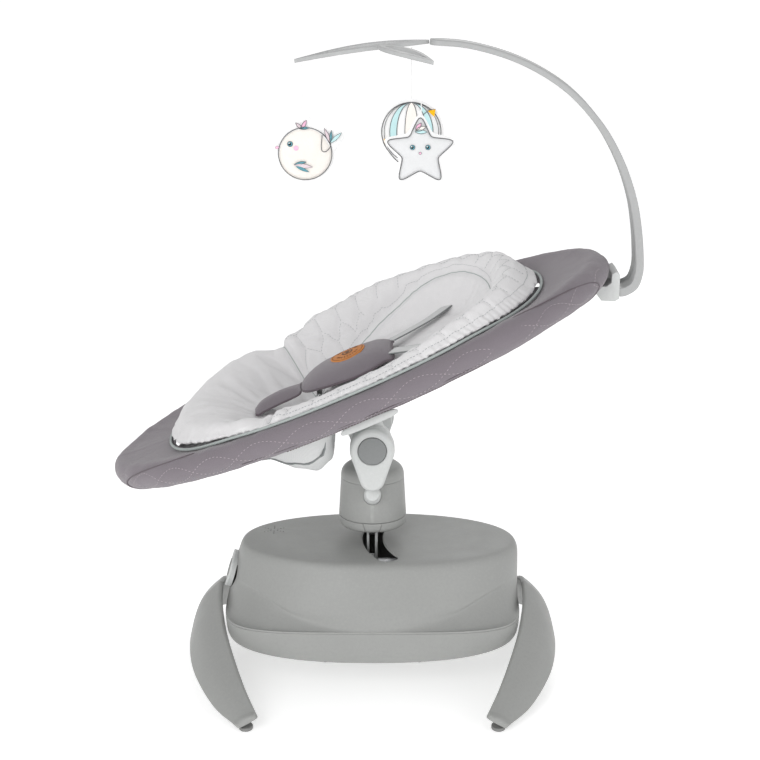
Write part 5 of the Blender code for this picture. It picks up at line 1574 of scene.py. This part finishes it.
# ---------------------------------------------------------------- harness
def strip(name, path, widths, thickness, stations=60, droop=0.0, power=4):
    """A soft strap through (s, v, n) points with rounded edges; droop lowers both edges."""
    path = spline(path, stations)
    t = np.linspace(0, 1, stations)
    half = level(widths, t) / 2
    ahead = np.gradient(path, axis=0)
    ahead /= np.linalg.norm(ahead, axis=1)[:, None]
    side = np.stack([-ahead[:, 1], ahead[:, 0], np.zeros(stations)], 1)
    side /= np.linalg.norm(side, axis=1)[:, None]
    up = np.cross(ahead, side)
    up *= np.where(up[:, 2] < 0, -1, 1)[:, None]
    pinch = 0.5 + 0.5 * np.sqrt(np.maximum(1 - np.maximum(np.abs(2 * t - 1) - 0.93, 0) / 0.07, 0))
    fall = droop * np.sqrt(np.maximum(np.sin(math.pi * t), 0))
    rows = [[path[k] + side[k] * a * half[k]
             + up[k] * (b * thickness / 2 * pinch[k] - fall[k] * a * a)
             for a, b in superellipse(1, 1, power, 48)] for k in range(stations)]
    edges = [seat(path + side * (sign * 0.985 * half)[:, None] - up * fall[:, None])
             for sign in (-1, 1)]
    return skin(name, seat(np.array(rows))), edges


BELLY_FALL = 0.0135
BELLY_PATH = spline([(-0.088, 0, 0.0060), (-0.060, 0, 0.0150), (-0.033, 0, 0.0180),
                     (-0.006, 0, 0.0185), (0.021, 0, 0.0180), (0.040, 0, 0.0155),
                     (0.056, 0, 0.0110)], 90)
BELLY_HALF_OUTLINE = [(-0.088, 0), (-0.086, 0.018), (-0.076, 0.036), (-0.058, 0.050),
                      (-0.035, 0.058), (-0.006, 0.0620), (0.022, 0.0595), (0.044, 0.0500),
                      (0.0560, 0.0440), (0.0570, 0.020)]
BADGE_S, BADGE_N = -0.006, 0.0246


def belly_drop(v):
    return BELLY_FALL * (np.asarray(v) / 0.06) ** 2


def belly_height(s, v):
    return np.interp(s, BELLY_PATH[:, 0], BELLY_PATH[:, 2]) - belly_drop(v)


def make_straps():
    crotch, edges = strip("crotch_strap_webbing",
                          [(-0.163, 0, 0.0000), (-0.150, 0, 0.0075), (-0.125, 0, 0.0110),
                           (-0.105, 0, 0.0100), (-0.0885, 0, 0.0068)],
                          [(0, 0.040), (1, 0.044)], 0.0065, droop=0.010)
    register(crotch, "seat", "mauve", "mauve_fabric", "crotch_strap")
    seat_line("crotch_strap_piping", edges, 0.0017, "mauve_trim", "mauve_fabric")
    for word, side in (("near", -1), ("far", 1)):
        strap, edges = strip(f"waist_strap_webbing_{word}",
                             [(0.0560, side * 0.030, 0.0108), (0.0900, side * 0.055, 0.0080),
                              (0.1180, side * 0.077, 0.0065), (0.1480, side * 0.101, 0.0080)],
                             [(0, 0.020), (1, 0.020)], 0.0026, power=6)
        register(strap, "seat", "strap", "pad_fabric", f"waist_strap_{word}")
        seat_line(f"waist_strap_edges_{word}", edges, 0.0011, "strap_trim", "pad_fabric")


def make_belly_pad():
    half = np.array(BELLY_HALF_OUTLINE)
    outline = np.concatenate([half, [(0.0570, 0)], (half * [1, -1])[::-1][:-1]])
    outline = evenly(spline(outline, 240, closed=True), 0.0022)
    layers = []
    for sign in (1, -1):
        layer = []
        for scale in (0.03, 0.2, 0.4, 0.58, 0.73, 0.85, 0.93, 0.98, 1.0):
            ring = outline * scale + np.array([-0.012, 0]) * (1 - scale)
            swell = 0.0066 * math.sqrt(max(1 - scale ** 5, 0)) + 0.0006
            swell = swell + 0.0005 * lattice_noise(ring, 60, 31) * (1 - scale ** 6)
            layer.append(np.column_stack([ring, belly_height(*ring.T) + sign * swell]))
        layers.append(layer)
    belly = skin("belly_pad_cushion", seat(np.array(layers[0] + layers[1][::-1])), sharp=70)
    inflate(belly, 3.0, 0.0012)
    register(belly, "seat", "mauve", "mauve_fabric", "belly_pad")
    border = seat(np.column_stack([outline * 1.005, belly_height(*outline.T)]))
    seat_line("belly_pad_piping", [border], 0.0018, "mauve_trim", "mauve_fabric", closed=True)
    s, v = np.full(40, 0.0475), np.linspace(-0.043, 0.043, 40)
    seam = seat(np.column_stack([s, v, belly_height(s, v) + 0.0052]))
    seat_line("belly_pad_end_seam", [seam], 0.0006, "mauve_trim", "mauve_fabric")


def on_badge(points, n):
    """World places of points on the badge, n above its foot."""
    a, b = np.asarray(points).T
    return seat(np.column_stack([BADGE_S + a, b, BADGE_N + n - belly_drop(b)]))


def make_badge():
    layers = [(0.0262, 0.0), (0.0268, 0.0004), (0.0268, 0.0020), (0.0260, 0.0027),
              (0.0246, 0.0028), (0.0242, 0.0024), (0.0236, 0.0024), (0.0232, 0.0028),
              (0.012, 0.0029), (0.0006, 0.0029)]
    badge = skin("belly_badge_leather", [on_badge(ring_of(r, 96), n) for r, n in layers])
    register(badge, "seat", "leather", "tan_leather", "belly_badge")
    for order, (outer, inner) in enumerate(((0.0085, 0.0062), (0.0034, 0.0001))):
        rings = [(inner, 0.0026), (inner, 0.0031), (outer, 0.0031), (outer, 0.0026)]
        mark = skin(f"belly_badge_ring_{order}", [on_badge(ring_of(r, 72), n) for r, n in rings],
                    ring=True)
        register(mark, "seat", "leather_print", "tan_leather")
    turns = [a for a in 2 * math.pi * np.arange(24) / 24 if abs(math.sin(a)) >= 0.3]
    ticks = [on_badge([(r * math.cos(a), r * math.sin(a)) for r in (0.0150, 0.0185)], 0.0030)
             for a in turns]
    seat_line("belly_badge_ticks", ticks, 0.0005, "leather_print", "tan_leather")
    stitches("belly_badge_stitches", [on_badge(ring_of(0.0239, 120), 0.0027)], 0.0016, 0.0012,
             0.00030, "leather_print", "tan_leather")


# ---------------------------------------------------------------- toy arch
ARCH_PATH = [(0.3513, 0.5770), (0.3600, 0.5785), (0.3720, 0.5865), (0.3778, 0.6030),
             (0.3786, 0.6240), (0.3745, 0.6680), (0.3655, 0.7130), (0.3465, 0.7640),
             (0.3160, 0.8150), (0.2690, 0.8640), (0.2060, 0.9010), (0.1370, 0.9220),
             (0.0800, 0.9270)]
LEAF_THICKNESS, LEAF_OPENING, LEAF_STEPS = 0.0060, 0.52, 48


def make_arch():
    count = 120
    path = spline(ARCH_PATH, count)
    t = np.linspace(0, 1, count)
    half_width = level([(0, 0.0290), (0.25, 0.0270), (0.6, 0.0200), (1, 0.0150)], t)
    half_thick = level([(0, 0.0065), (0.3, 0.0058), (1, 0.0042)], t)
    half_width *= np.sqrt(1 - (np.clip(t - 0.965, 0, 1) / 0.036) ** 2)
    along = np.gradient(path, axis=0)
    along /= np.linalg.norm(along, axis=1)[:, None]
    radii = [0.0024, 0.0030, 0.0030, 0.0024, 0.0008, 0.0010, 0.0010, 0.0008]
    rows = []
    for (x, z), (ax, az), hw, ht in zip(path, along, half_width, half_thick):
        section = [(-hw, -ht), (-hw, ht), (hw, ht), (hw, -ht), (hw - 0.0035, -ht),
                   (hw - 0.0050, -ht * 0.35), (-hw + 0.0050, -ht * 0.35), (-hw + 0.0035, -ht)]
        rows.append([(x + b * az, a, z - b * ax) for a, b in fillet(section, radii)])
    low, high = 0.5718, 0.5822
    section = fillet([(-0.025, low), (0.025, low), (0.025, high), (-0.025, high)], 0.002)
    tongue = skin("tongue", [[(x, y, z) for y, z in section] for x in (0.333, 0.3550)])
    arch = merged("toy_arch", [skin("toy_arch_band", rows), tongue])
    register(arch, "arch", "arch", "base_grey", "toy_arch")


def make_leaf(name, node, root, tip, half, lift):
    """A leaf-shaped loop, bowed upwards by lift."""
    root, tip = Vector(root), Vector(tip)
    along = tip - root
    side = Vector((0, 0, 1)).cross(along).normalized()
    up = along.cross(side).normalized()
    f = np.concatenate([np.linspace(0, 1, LEAF_STEPS, endpoint=False),
                        np.linspace(1, 0, LEAF_STEPS, endpoint=False)])
    w = np.repeat((1, -1), LEAF_STEPS) * half * np.sin(math.pi * f ** 0.85)
    section = fillet([(1, -1), (1, 1), (LEAF_OPENING, 1), (LEAF_OPENING, -1)], 0.16)
    rows = []
    for inset, height in section:
        share = (1 - inset) / (1 - LEAF_OPENING)
        g = f + (0.5 + (f - 0.5) * 0.74 - f) * share
        rows.append([tuple(root + along * gk + side * wk
                           + up * (height * LEAF_THICKNESS / 2 + lift * math.sin(math.pi * gk)))
                     for gk, wk in zip(g.tolist(), (w * inset).tolist())])
    register(skin(name, rows, ring=True), "arch", "arch", "base_grey", node)


# ---------------------------------------------------------------- CAD pieces kept
FEET = [f"foot_pad_{number}" for number in range(1, 5)]
KEPT = {
    **dict.fromkeys(FEET, "rubber"),
    "circuit_board": "board", "speaker": "dark", "dc_inlet": "dark", "drive_motor": "steel",
    "gearbox": "dark", "motor_pinion": "brass", "pivot_post": "steel", "swing_arm": "steel",
    "sector_gear": "gear", "swing_stem": "hub", "stem_crossbar": "dark",
    "swivel_spindle": "steel", "lock_gear_near": "steel", "lock_gear_far": "steel",
    "seat_cross_tube": "steel", "seat_ring_tube": "steel", "arch_socket": "hub",
    "arch_release_knob": "knob",
}
BEVELLED = {
    **dict.fromkeys(FEET, 0.0008),
    "swing_stem": 0.0012, "stem_crossbar": 0.0006, "arch_socket": 0.0020, "swing_arm": 0.0008,
    "dc_inlet": 0.0005, "gearbox": 0.0010, "arch_release_knob": 0.0004,
}


def dress_kept():
    for name, look in KEPT.items():
        node = NODES[name]
        node.data.materials.clear()
        node.data.materials.append(MATERIALS[look])
        weld = node.modifiers.new("weld", "WELD")
        weld.merge_threshold = 0.00001
        if name in BEVELLED:
            bevel = node.modifiers.new("edge", "BEVEL")
            bevel.width = BEVELLED[name]
            bevel.segments = 3
            bevel.limit_method = "ANGLE"
            bevel.angle_limit = math.radians(40)
        node.data.shade_smooth()
        node.data.set_sharp_from_angle(angle=math.radians(38))


# ---------------------------------------------------------------- camera and studio
CAMERA_ELEVATION = math.radians(16)
CAMERA_DISTANCE = 2.75
CAMERA_TARGET = Vector((0.011, 0, 0.440))
CAMERA_LENS = 89.62


def make_camera():
    data = bpy.data.cameras.new("camera")
    data.lens = CAMERA_LENS
    data.sensor_width = 36
    camera = link(bpy.data.objects.new("camera", data))
    back = Vector((0, -math.cos(CAMERA_ELEVATION), math.sin(CAMERA_ELEVATION)))
    camera.location = CAMERA_TARGET + CAMERA_DISTANCE * back
    camera.rotation_euler = (math.pi / 2 - CAMERA_ELEVATION, 0, 0)
    bpy.context.scene.camera = camera


def area_light(name, location, target, size, power):
    data = bpy.data.lights.new(name, "AREA")
    data.shape = "DISK"
    data.size = size
    data.energy = power
    lamp = link(bpy.data.objects.new(name, data))
    lamp.location = location
    lamp.rotation_euler = (Vector(target) - Vector(location)).to_track_quat("-Z", "Y").to_euler()


def make_studio():
    shape = bmesh.new()
    bmesh.ops.create_circle(shape, cap_ends=True, segments=96, radius=60)
    floor = from_bmesh("studio_floor", shape)
    look = Look("studio_floor_pale", (0.94, 0.94, 0.94), 0.32, Specular_IOR_Level=0.5,
                Emission_Color=(1, 1, 1, 1), Emission_Strength=0.42)
    look.vary(look.noise(3, 2), 0.004)
    look.rough(look.noise(8, 2), 0.32, 0.40)
    floor.data.materials.append(look.material)
    world = bpy.data.worlds.new("studio")
    world.use_nodes = True
    sky = world.node_tree.nodes.new("ShaderNodeTexCoord")
    apart = world.node_tree.nodes.new("ShaderNodeSeparateXYZ")
    fade = world.node_tree.nodes.new("ShaderNodeMapRange")
    for key, number in (("From Min", 0.0), ("From Max", 0.9), ("To Min", 0.95), ("To Max", 0.50)):
        fade.inputs[key].default_value = number
    links = world.node_tree.links
    links.new(sky.outputs["Generated"], apart.inputs["Vector"])
    links.new(apart.outputs["Z"], fade.inputs["Value"])
    links.new(fade.outputs["Result"], world.node_tree.nodes["Background"].inputs["Strength"])
    world.node_tree.nodes["Background"].inputs["Color"].default_value = (1, 1, 1, 1)
    bpy.context.scene.world = world
    bpy.context.scene.view_settings.view_transform = "Standard"
    middle = (0, 0, 0.4)
    area_light("key", (-1.2, -2.8, 1.7), middle, 1.8, 34)
    area_light("fill", (2.2, -2.4, 1.0), middle, 1.8, 13)
    area_light("back", (0.6, 2.4, 2.2), middle, 1.6, 10)


make_camera()
make_strings()
make_bird()
make_balloon()
make_star()
make_base()
make_panel()
make_leg("leg_foot_end", -1)
make_leg("leg_head_end", 1)
make_turntable()
make_drum()
for arm_word, arm_side in (("near", -1), ("far", 1)):
    make_arm(arm_word, arm_side)
    make_hub(arm_word, arm_side)
make_cover()
trim_cover()
make_sling()
make_pad()
make_straps()
make_belly_pad()
make_badge()
make_arch()
make_leaf("arch_leaf_long", "leaf_loop_long", (0.0790, 0.0, 0.9268), (-0.1080, 0.0, 0.9000),
          0.0300, 0.0050)
make_leaf("arch_leaf_short", "leaf_loop_short", (0.0080, -0.0335, 0.9230),
          (0.0830, -0.0950, 0.9080), 0.0200, 0.0030)
dress_kept()
make_studio()
